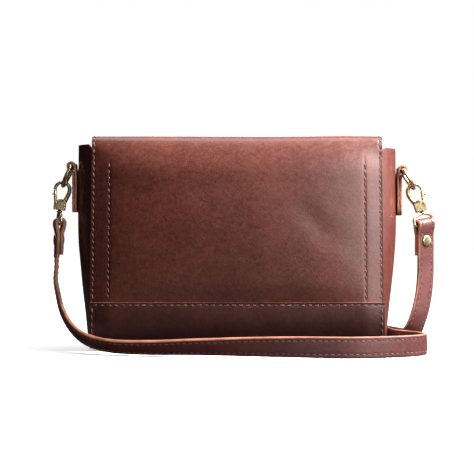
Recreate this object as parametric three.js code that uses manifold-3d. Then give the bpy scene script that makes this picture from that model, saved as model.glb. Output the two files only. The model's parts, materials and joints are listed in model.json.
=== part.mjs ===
// A structured leather crossbody purse with a fold-over flap and a clip-on shoulder strap.
//
// Millimetres, +Z up, origin on the floor at the centre of the base. -Y is the plain back of the
// purse and +Y is the front, where the flap hangs. The strap lies on the floor around the body.
//
// The flap is one hide with the back panel on the real purse. It is split here at the middle of
// each roll, so that the crown turns about the back roll and the drop turns about the front roll.

import * as THREE from "three";
import { mergeVertices } from "three/addons/utils/BufferGeometryUtils.js";
import Module from "manifold-3d";

const wasm = await Module();
wasm.setup();

const rad = THREE.MathUtils.degToRad;

// ---- Driving dimensions ------------------------------------------------------------------------

const BODY_HALF_WIDTH = { base: 138, top: 135 };
const BODY_HALF_DEPTH = { base: 37.5, top: 34 }; // to the outer faces of the two panels
const BODY_TOP = 186; // top of the gussets
const HIDE = 2; // panel, band and flap leather
const THIN_HIDE = 1.6; // gusset leather
const FACING = 1.4; // flap facing leather
const GAP = 0.3; // between pieces that are sewn or laid face to face

const BAND_TOP = 47;
const BAND_LAP = 10; // how far the band covers each panel
const BAND_CORNER = 7;

const GUSSET_FOOT = 3.8;
const GUSSET_FLANGE = 9; // sewing flange behind each panel
const GUSSET_ARC_STEPS = 10;
const GUSSET_LEVELS = 7;

const FLAP_CREST = 200; // highest point of the flap
const BACK_ROLL = 13; // outer radius of the flap's bend over the back
const FRONT_ROLL = 14;
const FLAP_STAND_OFF = 4.4; // flap's outer face beyond the front panel, at the front roll
const FLAP_FLARE = 8.6; // how much further out its lower edge stands
const FLAP_EDGE = 60; // height of the flap's lower edge
const FLAP_CORNER = 22;

const MAGNET_HEIGHT = 78;
const MAGNET_RADIUS = 9;

const TAB_WIDTH = 18;
const TAB_THICKNESS = 4.2; // two layers of leather
const TAB_FACE = 152.3; // where the tab lies on the gusset
const RING_WIRE = 1.75;
const RING_REACH = 20.5; // from the bar to the far end of the ring
const RING_HALF_WIDTH = 11.25;
const EYELET_CLEARANCE = 0.35;

const HOOK_WIRE = 1.5;
const HOOK_BEND = 6.8; // radius of the top of the hook
const COLLAR = { top: 16.8, foot: 26.8, inner: -5.6, outer: 5.9, halfDepth: 3.6 };
const GATE = { pivotX: 4.6, pivotZ: -19.8, length: 11.4, halfThickness: 1.1, width: 2.2, lean: 10.3 };
const GATE_PIN = 0.75;
const EYE_WIRE = 1.4;
const EYE_HALF_WIDTH = 11.3;
const EYE_DROP = 40; // from the top of the hook to the bar that holds the strap
const EYE_ARCH = 11;
const EYE_SHOULDER = 5.4;

const STRAP_WIDTH = 19;
const STRAP_THICKNESS = 3.4;
const STRAP_LOOP = { halfWidth: 2, foot: -0.9, head: 0.9 }; // the slot that the eye's bar lies in
const STRAP_TAIL = -29; // end of the turned-back tail, below the bar
const STRAP_JOIN = -33; // where the strap end meets the run
const STUD_DROP = -15; // strap stud, below the bar
const STUD_RADIUS = 5.2;

// How the hardware hangs on each side. The heights are of the ring's bar and of the tab's foot, which
// sit a little unevenly. The rest is in degrees: the ring's, clasp's, eye's and strap end's angles
// from straight down, how far the eye has swivelled, and the slope of the strap's fold along its bar.
const SIDES = {
  left: {
    turn: 180, ringHeight: 173, tabFoot: 129.5,
    ringTilt: 25, claspLean: 8.5, eyeLean: -1, strapLean: 2, yaw: 10, foldSlope: 0,
  },
  right: {
    turn: 0, ringHeight: 169.5, tabFoot: 126.5,
    ringTilt: 33, claspLean: 19, eyeLean: 11, strapLean: 0, yaw: -57, foldSlope: 8.2,
  },
};

// ---- Materials ---------------------------------------------------------------------------------

const finish = (color, roughness, metalness) =>
  new THREE.MeshStandardMaterial({ color, roughness, metalness });
const OXBLOOD = finish(0x6b3a34, 0.42, 0);
const GUSSET_OXBLOOD = finish(0x74403a, 0.4, 0);
const SUEDE = finish(0x8a5a44, 0.9, 0);
const STRAP_OXBLOOD = finish(0x7a4540, 0.45, 0);
const BOARD = finish(0x4a3a30, 0.85, 0);
const BRASS = finish(0xb59a5a, 0.3, 1);
const STEEL = finish(0x9a9a98, 0.35, 1);

// ---- Helpers -----------------------------------------------------------------------------------

const flat = (x, y) => new THREE.Vector2(x, y);
const lerp = THREE.MathUtils.lerp;
const halfDepth = (z) => lerp(BODY_HALF_DEPTH.base, BODY_HALF_DEPTH.top, z / BODY_TOP);
const halfWidth = (z) => lerp(BODY_HALF_WIDTH.base, BODY_HALF_WIDTH.top, z / BODY_TOP);

function mesh(name, geometry, material) {
  const made = new THREE.Mesh(geometry, material);
  made.name = name;
  return made;
}

function group(children, { position = [0, 0, 0], rotation = [0, 0, 0] } = {}) {
  const made = new THREE.Group();
  made.add(...children);
  made.position.set(...position);
  made.rotation.set(...rotation);
  return made;
}

function solidOf(geometry) {
  const bare = geometry.clone();
  bare.deleteAttribute("normal");
  bare.deleteAttribute("uv");
  const merged = mergeVertices(bare, 1e-4);
  return new wasm.Manifold(
    new wasm.Mesh({
      numProp: 3,
      vertProperties: merged.attributes.position.array,
      triVerts: new Uint32Array(merged.index.array),
    }),
  );
}

function geometryOf(solid) {
  const { vertProperties, triVerts } = solid.getMesh();
  const geometry = new THREE.BufferGeometry();
  geometry.setAttribute("position", new THREE.BufferAttribute(vertProperties, 3));
  geometry.setIndex(new THREE.BufferAttribute(triVerts, 1));
  return geometry;
}

const join = (first, ...rest) =>
  geometryOf(rest.reduce((solid, next) => solid.add(solidOf(next)), solidOf(first)));
const cut = (first, ...rest) =>
  geometryOf(rest.reduce((solid, next) => solid.subtract(solidOf(next)), solidOf(first)));
const overlap = (first, second) => geometryOf(solidOf(first).intersect(solidOf(second)));

// An outline in Y and Z, extruded along X.
function acrossBody(outline, width) {
  const geometry = new THREE.ExtrudeGeometry(outline, { depth: width, bevelEnabled: false });
  const turn = new THREE.Matrix4().makeBasis(
    new THREE.Vector3(0, 1, 0),
    new THREE.Vector3(0, 0, 1),
    new THREE.Vector3(1, 0, 0),
  );
  return geometry.translate(0, 0, -width / 2).applyMatrix4(turn);
}

// An outline in X and Z, extruded along Y.
function throughBody(outline, depth, curveSegments = 12) {
  const geometry = new THREE.ExtrudeGeometry(outline, { depth, bevelEnabled: false, curveSegments });
  return geometry.translate(0, 0, -depth / 2).rotateX(Math.PI / 2);
}

function box(x0, x1, y0, y1, z0, z1) {
  const geometry = new THREE.BoxGeometry(x1 - x0, y1 - y0, z1 - z0);
  return geometry.translate((x0 + x1) / 2, (y0 + y1) / 2, (z0 + z1) / 2);
}

// A cylinder along Y.
const rod = (radius, y0, y1, sides = 20) =>
  new THREE.CylinderGeometry(radius, radius, y1 - y0, sides).translate(0, (y0 + y1) / 2, 0);

// A turned piece about Y, from [radius, y] pairs that run up the outside from axis to axis.
const turned = (pairs, sides = 24) =>
  new THREE.LatheGeometry(pairs.map(([r, y]) => flat(r, y)), sides);

// A strip of leather seen edge on: the outer face, and the inner face at the given thickness to
// the right of the way the outer face runs.
function leatherStrip(outerFace, thickness) {
  const innerFace = outerFace.map((point, i) => {
    const before = outerFace[Math.max(i - 1, 0)];
    const after = outerFace[Math.min(i + 1, outerFace.length - 1)];
    const along = after.clone().sub(before).normalize();
    return flat(point.x + along.y * thickness, point.y - along.x * thickness);
  });
  return new THREE.Shape([...outerFace, ...innerFace.reverse()]);
}

function arcPoints(centreX, centreY, radius, fromDegrees, toDegrees, steps) {
  return Array.from({ length: steps + 1 }, (_, i) => {
    const angle = rad(lerp(fromDegrees, toDegrees, i / steps));
    return flat(centreX + radius * Math.cos(angle), centreY + radius * Math.sin(angle));
  });
}

// Widens a piece of the body towards the floor, as the body is.
function flared(geometry) {
  const position = geometry.attributes.position;
  for (let i = 0; i < position.count; i++) {
    const share = halfWidth(position.getZ(i)) / BODY_HALF_WIDTH.top;
    position.setX(i, position.getX(i) * share);
  }
  return geometry;
}

// A closed skin over level outlines that all have the same number of points.
function loft(outlines) {
  const count = outlines[0].length;
  const faces = [];
  outlines.slice(1).forEach((_, level) => {
    for (let i = 0; i < count; i++) {
      const a = level * count + i;
      const b = level * count + ((i + 1) % count);
      faces.push(a, b, b + count, a, b + count, a + count);
    }
  });
  const last = (outlines.length - 1) * count;
  const cap = THREE.ShapeUtils.triangulateShape(outlines[0].map((p) => flat(p.x, p.y)), []);
  cap.forEach(([a, b, c]) => faces.push(c, b, a, last + a, last + b, last + c));
  const geometry = new THREE.BufferGeometry().setFromPoints(outlines.flat());
  return geometry.setIndex(faces);
}

// A closed ring of round wire along a planar loop of points in Y and Z.
function wireRing(points, radius, sides = 8) {
  const outlines = points.map((point, i) => {
    const before = points[(i + points.length - 1) % points.length];
    const after = points[(i + 1) % points.length];
    const along = after.clone().sub(before).normalize();
    return Array.from({ length: sides }, (_, k) => {
      const angle = (2 * Math.PI * k) / sides;
      const out = radius * Math.cos(angle);
      return new THREE.Vector3(radius * Math.sin(angle), point.x + along.y * out, point.y - along.x * out);
    });
  });
  const faces = [];
  outlines.forEach((_, i) => {
    for (let k = 0; k < sides; k++) {
      const a = i * sides + k;
      const b = i * sides + ((k + 1) % sides);
      const c = ((i + 1) % outlines.length) * sides + ((k + 1) % sides);
      const d = ((i + 1) % outlines.length) * sides + k;
      faces.push(a, c, b, a, d, c);
    }
  });
  return new THREE.BufferGeometry().setFromPoints(outlines.flat()).setIndex(faces);
}

// ---- Body --------------------------------------------------------------------------------------

const BACK_ROLL_CENTRE = flat(-BODY_HALF_DEPTH.top + BACK_ROLL, FLAP_CREST - BACK_ROLL);
const FRONT_ROLL_CENTRE = flat(
  BODY_HALF_DEPTH.top + FLAP_STAND_OFF - FRONT_ROLL,
  FLAP_CREST - FRONT_ROLL,
);
const SPLIT_DEGREES = 1.2; // half of the cut between two halves of a roll

function backPanel() {
  const foot = BAND_TOP - BAND_LAP;
  const face = [
    flat(-halfDepth(foot), foot),
    ...arcPoints(BACK_ROLL_CENTRE.x, BACK_ROLL_CENTRE.y, BACK_ROLL, 180, 135 + SPLIT_DEGREES, 8),
  ];
  return flared(acrossBody(leatherStrip(face, HIDE), 2 * BODY_HALF_WIDTH.top));
}

function frontPanel() {
  const foot = BAND_TOP - BAND_LAP;
  const top = BODY_TOP - 6;
  const face = [flat(halfDepth(top), top), flat(halfDepth(foot), foot)];
  return flared(acrossBody(leatherStrip(face, HIDE), 2 * BODY_HALF_WIDTH.top));
}

// One hide wraps from the back, under the base and up the front, outside both panels.
function bottomBand() {
  const beyond = HIDE + GAP;
  const side = BODY_HALF_DEPTH.base + beyond;
  const face = [
    flat(halfDepth(BAND_TOP) + beyond, BAND_TOP),
    ...arcPoints(side - BAND_CORNER, BAND_CORNER, BAND_CORNER, 0, -90, 5),
    ...arcPoints(-side + BAND_CORNER, BAND_CORNER, BAND_CORNER, -90, -180, 5),
    flat(-halfDepth(BAND_TOP) - beyond, BAND_TOP),
  ];
  return flared(acrossBody(leatherStrip(face, HIDE), 2 * BODY_HALF_WIDTH.top));
}

// How far a gusset bows out beyond the panels' edges at a height.
function gussetBow(z) {
  const fullAt = 150;
  const foot = 2;
  const full = 16;
  if (z > fullAt) return full - 0.6 * ((z - fullAt) / (BODY_TOP - fullAt));
  return foot + (full - foot) * (1 - (1 - z / fullAt) ** 2.2);
}

// The right gusset: a flange behind each panel, and a side that bows out in a half ellipse.
function gusset() {
  const outlines = Array.from({ length: GUSSET_LEVELS }, (_, level) => {
    const z = lerp(GUSSET_FOOT, BODY_TOP, level / (GUSSET_LEVELS - 1));
    const root = halfWidth(z) - 1;
    const depth = halfDepth(z) - HIDE - GAP;
    const face = (inset) => [
      new THREE.Vector3(root - GUSSET_FLANGE, -depth + inset, z),
      ...Array.from({ length: GUSSET_ARC_STEPS + 1 }, (_, i) => {
        const angle = rad(lerp(-90, 90, i / GUSSET_ARC_STEPS));
        const bow = gussetBow(z) + 1 - inset;
        return new THREE.Vector3(root + bow * Math.cos(angle), (depth - inset) * Math.sin(angle), z);
      }),
      new THREE.Vector3(root - GUSSET_FLANGE, depth - inset, z),
    ];
    return [...face(0), ...face(THIN_HIDE).reverse()];
  });
  return loft(outlines);
}

// The stiff board that keeps the base flat, lying on the band.
function baseBoard() {
  const floor = HIDE + GAP;
  return box(-126, 126, -31.5, 31.5, floor, floor + 1.8);
}

// The slip pocket sewn to the inside of the back panel.
function slipPocket() {
  const [foot, top, halfSpan] = [48.5, 175, 118];
  const inset = HIDE + GAP;
  const face = [flat(-halfDepth(foot) + inset, foot), flat(-halfDepth(top) + inset, top)];
  return acrossBody(leatherStrip(face, 1.2), 2 * halfSpan);
}

// ---- Flap --------------------------------------------------------------------------------------

const FLAP_TOP_FACE = flat(BODY_HALF_DEPTH.top + FLAP_STAND_OFF, FRONT_ROLL_CENTRE.y);
const FLAP_EDGE_FACE = flat(FLAP_TOP_FACE.x + FLAP_FLARE, FLAP_EDGE);
const FLAP_LEAN = Math.atan2(FLAP_FLARE, FLAP_TOP_FACE.y - FLAP_EDGE);

function flapCrown() {
  const face = [
    ...arcPoints(BACK_ROLL_CENTRE.x, BACK_ROLL_CENTRE.y, BACK_ROLL, 135 - SPLIT_DEGREES, 90, 8),
    ...arcPoints(FRONT_ROLL_CENTRE.x, FRONT_ROLL_CENTRE.y, FRONT_ROLL, 90, 45 + SPLIT_DEGREES, 8),
  ];
  return acrossBody(leatherStrip(face, HIDE), 2 * BODY_HALF_WIDTH.top);
}

// A plate with the flap's rounded lower corners, that trims whatever hangs in the flap.
function flapOutline(inset) {
  const half = BODY_HALF_WIDTH.top - inset;
  const foot = FLAP_EDGE + inset;
  const corner = FLAP_CORNER - inset;
  const outline = new THREE.Shape();
  outline.moveTo(-half, FLAP_CREST + 1);
  outline.lineTo(-half, foot + corner);
  outline.absarc(-half + corner, foot + corner, corner, Math.PI, 1.5 * Math.PI, false);
  outline.absarc(half - corner, foot + corner, corner, 1.5 * Math.PI, 2 * Math.PI, false);
  outline.lineTo(half, FLAP_CREST + 1);
  return throughBody(outline, 120, 6);
}

function flapDrop() {
  const face = [
    ...arcPoints(FRONT_ROLL_CENTRE.x, FRONT_ROLL_CENTRE.y, FRONT_ROLL, 45 - SPLIT_DEGREES, 0, 8),
    FLAP_EDGE_FACE,
  ];
  const blank = acrossBody(leatherStrip(face, HIDE), 2 * BODY_HALF_WIDTH.top);
  return overlap(blank, flapOutline(0));
}

// Thin leather that backs the drop, with a seat for the snap's washer.
function flapFacing() {
  const top = FLAP_TOP_FACE.y - 4;
  const inset = HIDE + GAP;
  const outerAt = (z) => FLAP_TOP_FACE.x + (FLAP_TOP_FACE.y - z) * Math.tan(FLAP_LEAN) - inset;
  const face = [flat(outerAt(top), top), flat(outerAt(FLAP_EDGE), FLAP_EDGE)];
  const blank = acrossBody(leatherStrip(face, FACING), 2 * BODY_HALF_WIDTH.top - 2);
  const seat = rod(MAGNET_RADIUS - 0.4, -0.9, 1).rotateX(FLAP_LEAN);
  seat.translate(0, outerAt(MAGNET_HEIGHT), MAGNET_HEIGHT);
  return cut(overlap(blank, flapOutline(1)), seat);
}

// ---- Magnetic snap -----------------------------------------------------------------------------

const SOCKET_THICKNESS = 3.4;

const snapSocket = () =>
  turned([
    [0, 0], [MAGNET_RADIUS, 0], [MAGNET_RADIUS, SOCKET_THICKNESS - 0.8],
    [MAGNET_RADIUS - 0.8, SOCKET_THICKNESS], [4.6, SOCKET_THICKNESS], [4.2, 1.6], [0, 1.6],
  ]);
const snapStud = () =>
  turned([
    [0, -2.4], [2.6, -2.4], [3, -1.4], [MAGNET_RADIUS - 0.6, -1.4], [MAGNET_RADIUS, -0.8],
    [MAGNET_RADIUS, 0], [0, 0],
  ]);
const snapWasher = () => rod(MAGNET_RADIUS - 1, 0, 0.6, 24);

function snapParts() {
  const panelFace = halfDepth(MAGNET_HEIGHT);
  const flapInside =
    FLAP_TOP_FACE.x +
    (FLAP_TOP_FACE.y - MAGNET_HEIGHT) * Math.tan(FLAP_LEAN) -
    (HIDE + GAP + FACING) / Math.cos(FLAP_LEAN);
  const onPanel = group([mesh("snap_socket", snapSocket(), BRASS)], {
    position: [0, panelFace + GAP, MAGNET_HEIGHT],
  });
  const behindPanel = group([mesh("snap_socket_washer", snapWasher(), STEEL)], {
    position: [0, panelFace - HIDE - GAP - 0.7, MAGNET_HEIGHT],
  });
  const onFlap = group([mesh("snap_stud", snapStud(), BRASS)], {
    position: [0, flapInside - GAP, MAGNET_HEIGHT],
    rotation: [FLAP_LEAN, 0, 0],
  });
  const inFlap = group([mesh("snap_stud_washer", snapWasher(), STEEL)], {
    position: [0, flapInside + FACING - 0.8, MAGNET_HEIGHT],
    rotation: [FLAP_LEAN, 0, 0],
  });
  return [onPanel, behindPanel, onFlap, inFlap];
}

// ---- Side hardware, drawn for the right side with +X outwards -------------------------------------

const RING_PIVOT_X = TAB_FACE + TAB_THICKNESS;

// A folded tab with the ring's bar in its eyelet.
function ringTab({ ringHeight, tabFoot }) {
  const hole = RING_WIRE + EYELET_CLEARANCE;
  const radius = hole + TAB_THICKNESS / 2;
  const outline = new THREE.Shape();
  outline.moveTo(TAB_FACE, tabFoot);
  outline.lineTo(TAB_FACE + TAB_THICKNESS, tabFoot);
  outline.lineTo(TAB_FACE + TAB_THICKNESS, ringHeight - radius);
  outline.absarc(TAB_FACE + radius, ringHeight, radius, -Math.PI / 2 + 0.02, Math.PI, false);
  const eyelet = new THREE.Path();
  eyelet.absarc(TAB_FACE + radius, ringHeight, hole, 0, 2 * Math.PI, true);
  outline.holes.push(eyelet);
  return throughBody(outline, TAB_WIDTH, 10);
}

// A D-shaped ring in the YZ plane, its bar on the Y axis and its bow hanging below.
function dRing() {
  const straight = RING_REACH - RING_HALF_WIDTH;
  const corner = 1.6;
  const inner = RING_HALF_WIDTH - corner;
  return wireRing(
    [
      flat(-inner / 2, 0), flat(inner / 2, 0),
      ...arcPoints(inner, -corner, corner, 90, 0, 3),
      ...arcPoints(0, -straight, RING_HALF_WIDTH, 0, -180, 16),
      ...arcPoints(-inner, -corner, corner, 180, 90, 3),
    ],
    RING_WIRE,
    10,
  );
}

// The hook's frame: a bent wire that ends in a collar, with a slot for the gate and a blind bore
// for the swivel eye's post. Its origin is the middle of the wire at the top of the bend.
function hook() {
  const path = new THREE.CatmullRomCurve3([
    new THREE.Vector3(-3.6, 0, -COLLAR.top - 2),
    new THREE.Vector3(-5.2, 0, -13),
    ...arcPoints(0, -HOOK_BEND, HOOK_BEND, 185, 5, 6).map((p) => new THREE.Vector3(p.x, 0, p.y)),
  ]);
  const section = new THREE.Shape().absarc(0, 0, HOOK_WIRE, 0, 2 * Math.PI, false);
  const wire = new THREE.ExtrudeGeometry(section, { steps: 16, extrudePath: path, curveSegments: 5 });
  const { top, foot, inner, outer, halfDepth: deep } = COLLAR;
  const collar = box(inner, outer, -deep, deep, -foot, -top);
  const slot = box(2.6, outer + 1, -2.2, 2.2, -22.4, -top + 1);
  const pinHole = rod(GATE_PIN + 0.2, -deep - 1, deep + 1, 12).translate(GATE.pivotX, 0, GATE.pivotZ);
  const postBore = rod(2.4, -2, 4.2, 16).rotateX(Math.PI / 2).translate(0, 0, -foot);
  return cut(join(collar, wire), slot, pinHole, postBore);
}

// The spring gate, standing on its pivot, with a thumb stub near its tip.
function gate() {
  const { length, halfThickness: half, width } = GATE;
  const heel = 1.5;
  const outline = new THREE.Shape();
  outline.moveTo(half, 1);
  outline.lineTo(half, length - 3.4);
  outline.lineTo(half + 1.7, length - 3.1);
  outline.lineTo(half + 1.7, length - 1.4);
  outline.lineTo(half, length - 1.1);
  outline.lineTo(half - 0.4, length);
  outline.lineTo(-half, length - 0.6);
  outline.lineTo(-half, 1);
  outline.absarc(0, 0, heel, rad(145), rad(395), false);
  const bore = new THREE.Path();
  bore.absarc(0, 0, GATE_PIN + 0.15, 0, 2 * Math.PI, true);
  outline.holes.push(bore);
  return throughBody(outline, width, 6);
}

// The torsion spring that closes the gate: two turns round the pin, beside the gate.
function gateSpring() {
  const wire = 0.25;
  class Coil extends THREE.Curve {
    getPoint(t, target = new THREE.Vector3()) {
      const angle = 4 * Math.PI * t;
      return target.set(1.35 * Math.cos(angle), lerp(1.45, 1.95, t), 1.35 * Math.sin(angle));
    }
  }
  const section = new THREE.Shape().absarc(0, 0, wire / 2, 0, 2 * Math.PI, false);
  return new THREE.ExtrudeGeometry(section, { steps: 24, extrudePath: new Coil(), curveSegments: 3 });
}

// The swivel eye: a D whose bar carries the strap, and a post that turns in the collar.
// Its origin is the middle of the bar.
function swivelEye() {
  const corner = 1.6;
  const inner = EYE_HALF_WIDTH - corner;
  const arch = Array.from({ length: 15 }, (_, i) => {
    const angle = rad(lerp(180, 0, i / 14));
    const rise = EYE_ARCH - EYE_SHOULDER;
    return flat(EYE_HALF_WIDTH * Math.cos(angle), EYE_SHOULDER + rise * Math.sin(angle));
  });
  const ring = wireRing(
    [
      flat(inner / 2, 0), flat(-inner / 2, 0),
      ...arcPoints(-inner, corner, corner, 270, 180, 3),
      ...arch,
      ...arcPoints(inner, corner, corner, 0, -90, 3),
    ],
    EYE_WIRE,
  );
  const seat = EYE_DROP - COLLAR.foot; // height of the collar's foot above the bar
  const post = turned([
    [0, EYE_ARCH - 0.6], [2.1, EYE_ARCH - 0.4], [2.7, seat - 1.4], [2.7, seat - 0.8],
    [1.5, seat - 0.8], [1.5, seat + 3.2], [0, seat + 3.2],
  ], 16);
  return join(ring, post.rotateX(Math.PI / 2));
}

// The strap's end, folded over the eye's bar: seen edge on, a loop, the main leg on the +X side
// and the turned-back tail on the -X side. The fold follows the slope of the bar.
function strapEnd(foldSlope) {
  const { halfWidth: slot, foot, head } = STRAP_LOOP;
  const outer = slot + STRAP_THICKNESS;
  const leg = STRAP_THICKNESS + 0.05;
  const neck = -9;
  const outline = new THREE.Shape();
  outline.moveTo(leg, STRAP_JOIN);
  outline.lineTo(leg, neck);
  outline.bezierCurveTo(leg, neck + 3, outer, foot - 2.5, outer, foot);
  outline.absarc(0, head, outer, 0, Math.PI, false);
  outline.lineTo(-outer, foot);
  outline.bezierCurveTo(-outer, foot - 2.5, -leg, neck + 3, -leg, neck);
  outline.lineTo(-leg, STRAP_TAIL);
  outline.lineTo(0.05, STRAP_TAIL);
  outline.lineTo(0.05, STRAP_JOIN);
  const opening = new THREE.Path();
  opening.absarc(0, head, slot, Math.PI, 0, true);
  opening.absarc(0, foot, slot, 0, -Math.PI, true);
  outline.holes.push(opening);
  const bore = rod(2.4, -9, 9, 16).rotateZ(Math.PI / 2).translate(0, 0, STUD_DROP);
  const folded = throughBody(outline, STRAP_WIDTH, 6);
  const position = folded.attributes.position;
  for (let i = 0; i < position.count; i++) {
    if (position.getZ(i) < STUD_DROP) continue;
    const slope = Math.tan(rad(foldSlope));
    position.setZ(i, position.getZ(i) + position.getY(i) * slope);
    position.setY(i, position.getY(i) - Math.max(position.getZ(i), 0) * slope);
  }
  return cut(folded, bore);
}

// A two-part screw stud: the capped post shows on the strap's outer face.
const studCap = () =>
  turned([
    [0, -3.3], [2, -3.3], [2, 3.75], [STUD_RADIUS, 3.75], [STUD_RADIUS, 4.2], [4.2, 5], [0, 5.3],
  ]);
const studScrew = () =>
  turned([[0, -5], [4, -4.8], [4.8, -4.3], [4.8, -3.8], [0, -3.8]]);

// ---- Strap run ---------------------------------------------------------------------------------

// A path that carries the direction of the strap's width, so that the strap can twist.
class StrapPath extends THREE.Curve {
  constructor(stations) {
    super();
    this.centre = new THREE.CatmullRomCurve3(
      stations.map(([x, y, z]) => new THREE.Vector3(x, y, z)), false, "centripetal",
    );
    this.widths = stations.map(([, , , x, y, z]) => new THREE.Vector3(x, y, z));
  }

  getPoint(t, target = new THREE.Vector3()) {
    return this.centre.getPoint(t, target);
  }

  widthAt(u) {
    const place = this.getUtoTmapping(u) * (this.widths.length - 1);
    const index = Math.min(Math.floor(place), this.widths.length - 2);
    return this.widths[index].clone().lerp(this.widths[index + 1], place - index);
  }

  computeFrenetFrames(segments) {
    const frames = { tangents: [], normals: [], binormals: [] };
    for (let i = 0; i <= segments; i++) {
      const tangent = this.getTangentAt(i / segments);
      const width = this.widthAt(i / segments);
      width.addScaledVector(tangent, -width.dot(tangent)).normalize();
      frames.tangents.push(tangent);
      frames.binormals.push(width);
      frames.normals.push(new THREE.Vector3().crossVectors(width, tangent));
    }
    return frames;
  }
}

// From the left strap end down to the floor, across the back face, round the right side, in a loop
// in front of the flap, and back to rise to the right strap end. Each station is a place and the
// direction of the strap's upper edge.
function strapRun() {
  const floor = STRAP_WIDTH / 2 + 0.05;
  const upright = (x, y) => [x, y, floor, 0, 0, 1];
  const join = -STRAP_JOIN + GAP;
  const hanging = (name, drop, ...width) => [...strapLegPoint(name, drop).toArray(), ...width];
  const path = new StrapPath([
    hanging("left", join, 0.17, -1, 0),
    hanging("left", join + 7, 0.17, -1, 0),
    [-171.8, -2.5, 66, 0.18, -1, 0.05],
    [-169.5, -8, 55, 0.2, -1, 0.1],
    [-163.5, -19, 37, 0.26, -1, 0.25],
    [-152, -36, 21.5, 0.15, -0.95, 0.35],
    [-136, -56, 12.5, 0.1, -0.88, 0.5],
    [-115, -71, 8.2, 0, -0.8, 0.6],
    [-80, -84, 7.6, 0, -0.76, 0.64],
    [-40, -95, 9, 0, -0.67, 0.75],
    [0, -100, 9.6, 0, -0.5, 0.86],
    [50, -107, 9.9, 0, -0.2, 0.98],
    upright(100, -110), upright(138, -99), upright(162, -84), upright(173, -66),
    upright(171, -49), upright(161, -32), upright(150.5, -12), upright(146.8, 8),
    upright(145, 28), upright(142.5, 43), upright(132, 54), upright(100, 59),
    upright(30, 60), upright(-40, 62), upright(-66, 70), upright(-70, 82),
    upright(-50, 93), upright(0, 97), upright(70, 92), upright(120, 76),
    upright(145, 57), upright(152, 38), upright(157, 19),
    [161.5, 5, 10.2, -0.1, -0.05, 0.99],
    [164.5, -4.5, 12.5, -0.35, -0.2, 0.9],
    [167.2, -12, 19.5, -0.68, -0.42, 0.6],
    [169.7, -16.5, 30, -0.82, -0.52, 0.22],
    [172.6, -15.5, 45, -0.84, -0.54, 0],
    [175, -11, 60, -0.84, -0.54, 0],
    hanging("right", join + 8, -0.84, -0.54, 0),
    hanging("right", join, -0.84, -0.54, 0),
  ]);
  path.arcLengthDivisions = 1200;
  const half = { thick: STRAP_THICKNESS / 2, wide: STRAP_WIDTH / 2 };
  const section = new THREE.Shape([
    flat(-half.thick, -half.wide), flat(half.thick, -half.wide),
    flat(half.thick, half.wide), flat(-half.thick, half.wide),
  ]);
  return new THREE.ExtrudeGeometry(section, { steps: 120, extrudePath: path });
}

// ---- Assembly ----------------------------------------------------------------------------------

// Where the moving hardware of one side sits, with +X outwards.
function hangOf({ ringHeight, ringTilt, claspLean, eyeLean }) {
  const below = (point, angle, reach) =>
    flat(point.x + reach * Math.sin(angle), point.y - reach * Math.cos(angle));
  const pivot = flat(TAB_FACE + RING_WIRE + EYELET_CLEARANCE + TAB_THICKNESS / 2, ringHeight);
  const [tilt, lean, swing] = [rad(ringTilt), rad(claspLean), rad(eyeLean)];
  const bow = below(pivot, tilt, RING_REACH);
  const hookTop = below(bow, lean, -(HOOK_WIRE + RING_WIRE + GAP));
  const bar = below(below(hookTop, lean, COLLAR.foot), swing, EYE_DROP - COLLAR.foot);
  return { pivot, tilt, lean, swing, hookTop, bar };
}

function side(name) {
  const { turn, yaw, strapLean, foldSlope } = SIDES[name];
  const { pivot: ringPivot, tilt, lean, swing, hookTop, bar } = hangOf(SIDES[name]);
  const named = (part, geometry, material) => mesh(`${name}_${part}`, geometry, material);
  const ring = group([named("d_ring", dRing(), BRASS)], {
    position: [ringPivot.x, 0, ringPivot.y],
    rotation: [0, -tilt, 0],
  });
  const pivot = { position: [GATE.pivotX, 0, GATE.pivotZ] };
  const gateAndPin = [
    group([named("gate", gate(), BRASS)], { ...pivot, rotation: [0, rad(GATE.lean), 0] }),
    group([named("gate_pin", rod(GATE_PIN, -3.5, 3.5, 12), STEEL)], pivot),
    group([named("gate_spring", gateSpring(), STEEL)], pivot),
  ];
  const clasp = group([named("hook", hook(), BRASS), ...gateAndPin], {
    position: [hookTop.x, 0, hookTop.y],
    rotation: [0, -lean, 0],
  });
  const swivelled = group([named("swivel_eye", swivelEye(), BRASS)], { rotation: [0, 0, rad(yaw)] });
  const eye = group([swivelled], { position: [bar.x, 0, bar.y], rotation: [0, -swing, 0] });
  const stud = group([named("stud_cap", studCap(), BRASS), named("stud_screw", studScrew(), BRASS)], {
    position: [0, 0, STUD_DROP],
    rotation: [0, 0, -Math.PI / 2],
  });
  const strap = group([named("strap_end", strapEnd(foldSlope), STRAP_OXBLOOD), stud], {
    position: [bar.x, 0, bar.y],
    rotation: [0, -rad(strapLean), rad(yaw)],
  });
  const tab = named("ring_tab", ringTab(SIDES[name]), SUEDE);
  const wall = named("gusset", gusset(), GUSSET_OXBLOOD);
  return group([wall, tab, ring, clasp, eye, strap], { rotation: [0, 0, rad(turn)] });
}

// A point on the main leg's middle line, this far below the eye's bar, in the purse's own frame.
function strapLegPoint(name, drop) {
  const { turn, yaw, strapLean } = SIDES[name];
  const { bar } = hangOf(SIDES[name]);
  const leg = new THREE.Vector3(STRAP_THICKNESS / 2 + 0.05, 0, -drop);
  leg.applyEuler(new THREE.Euler(0, -rad(strapLean), rad(yaw)));
  leg.add(new THREE.Vector3(bar.x, 0, bar.y));
  return leg.applyAxisAngle(new THREE.Vector3(0, 0, 1), rad(turn));
}

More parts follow.
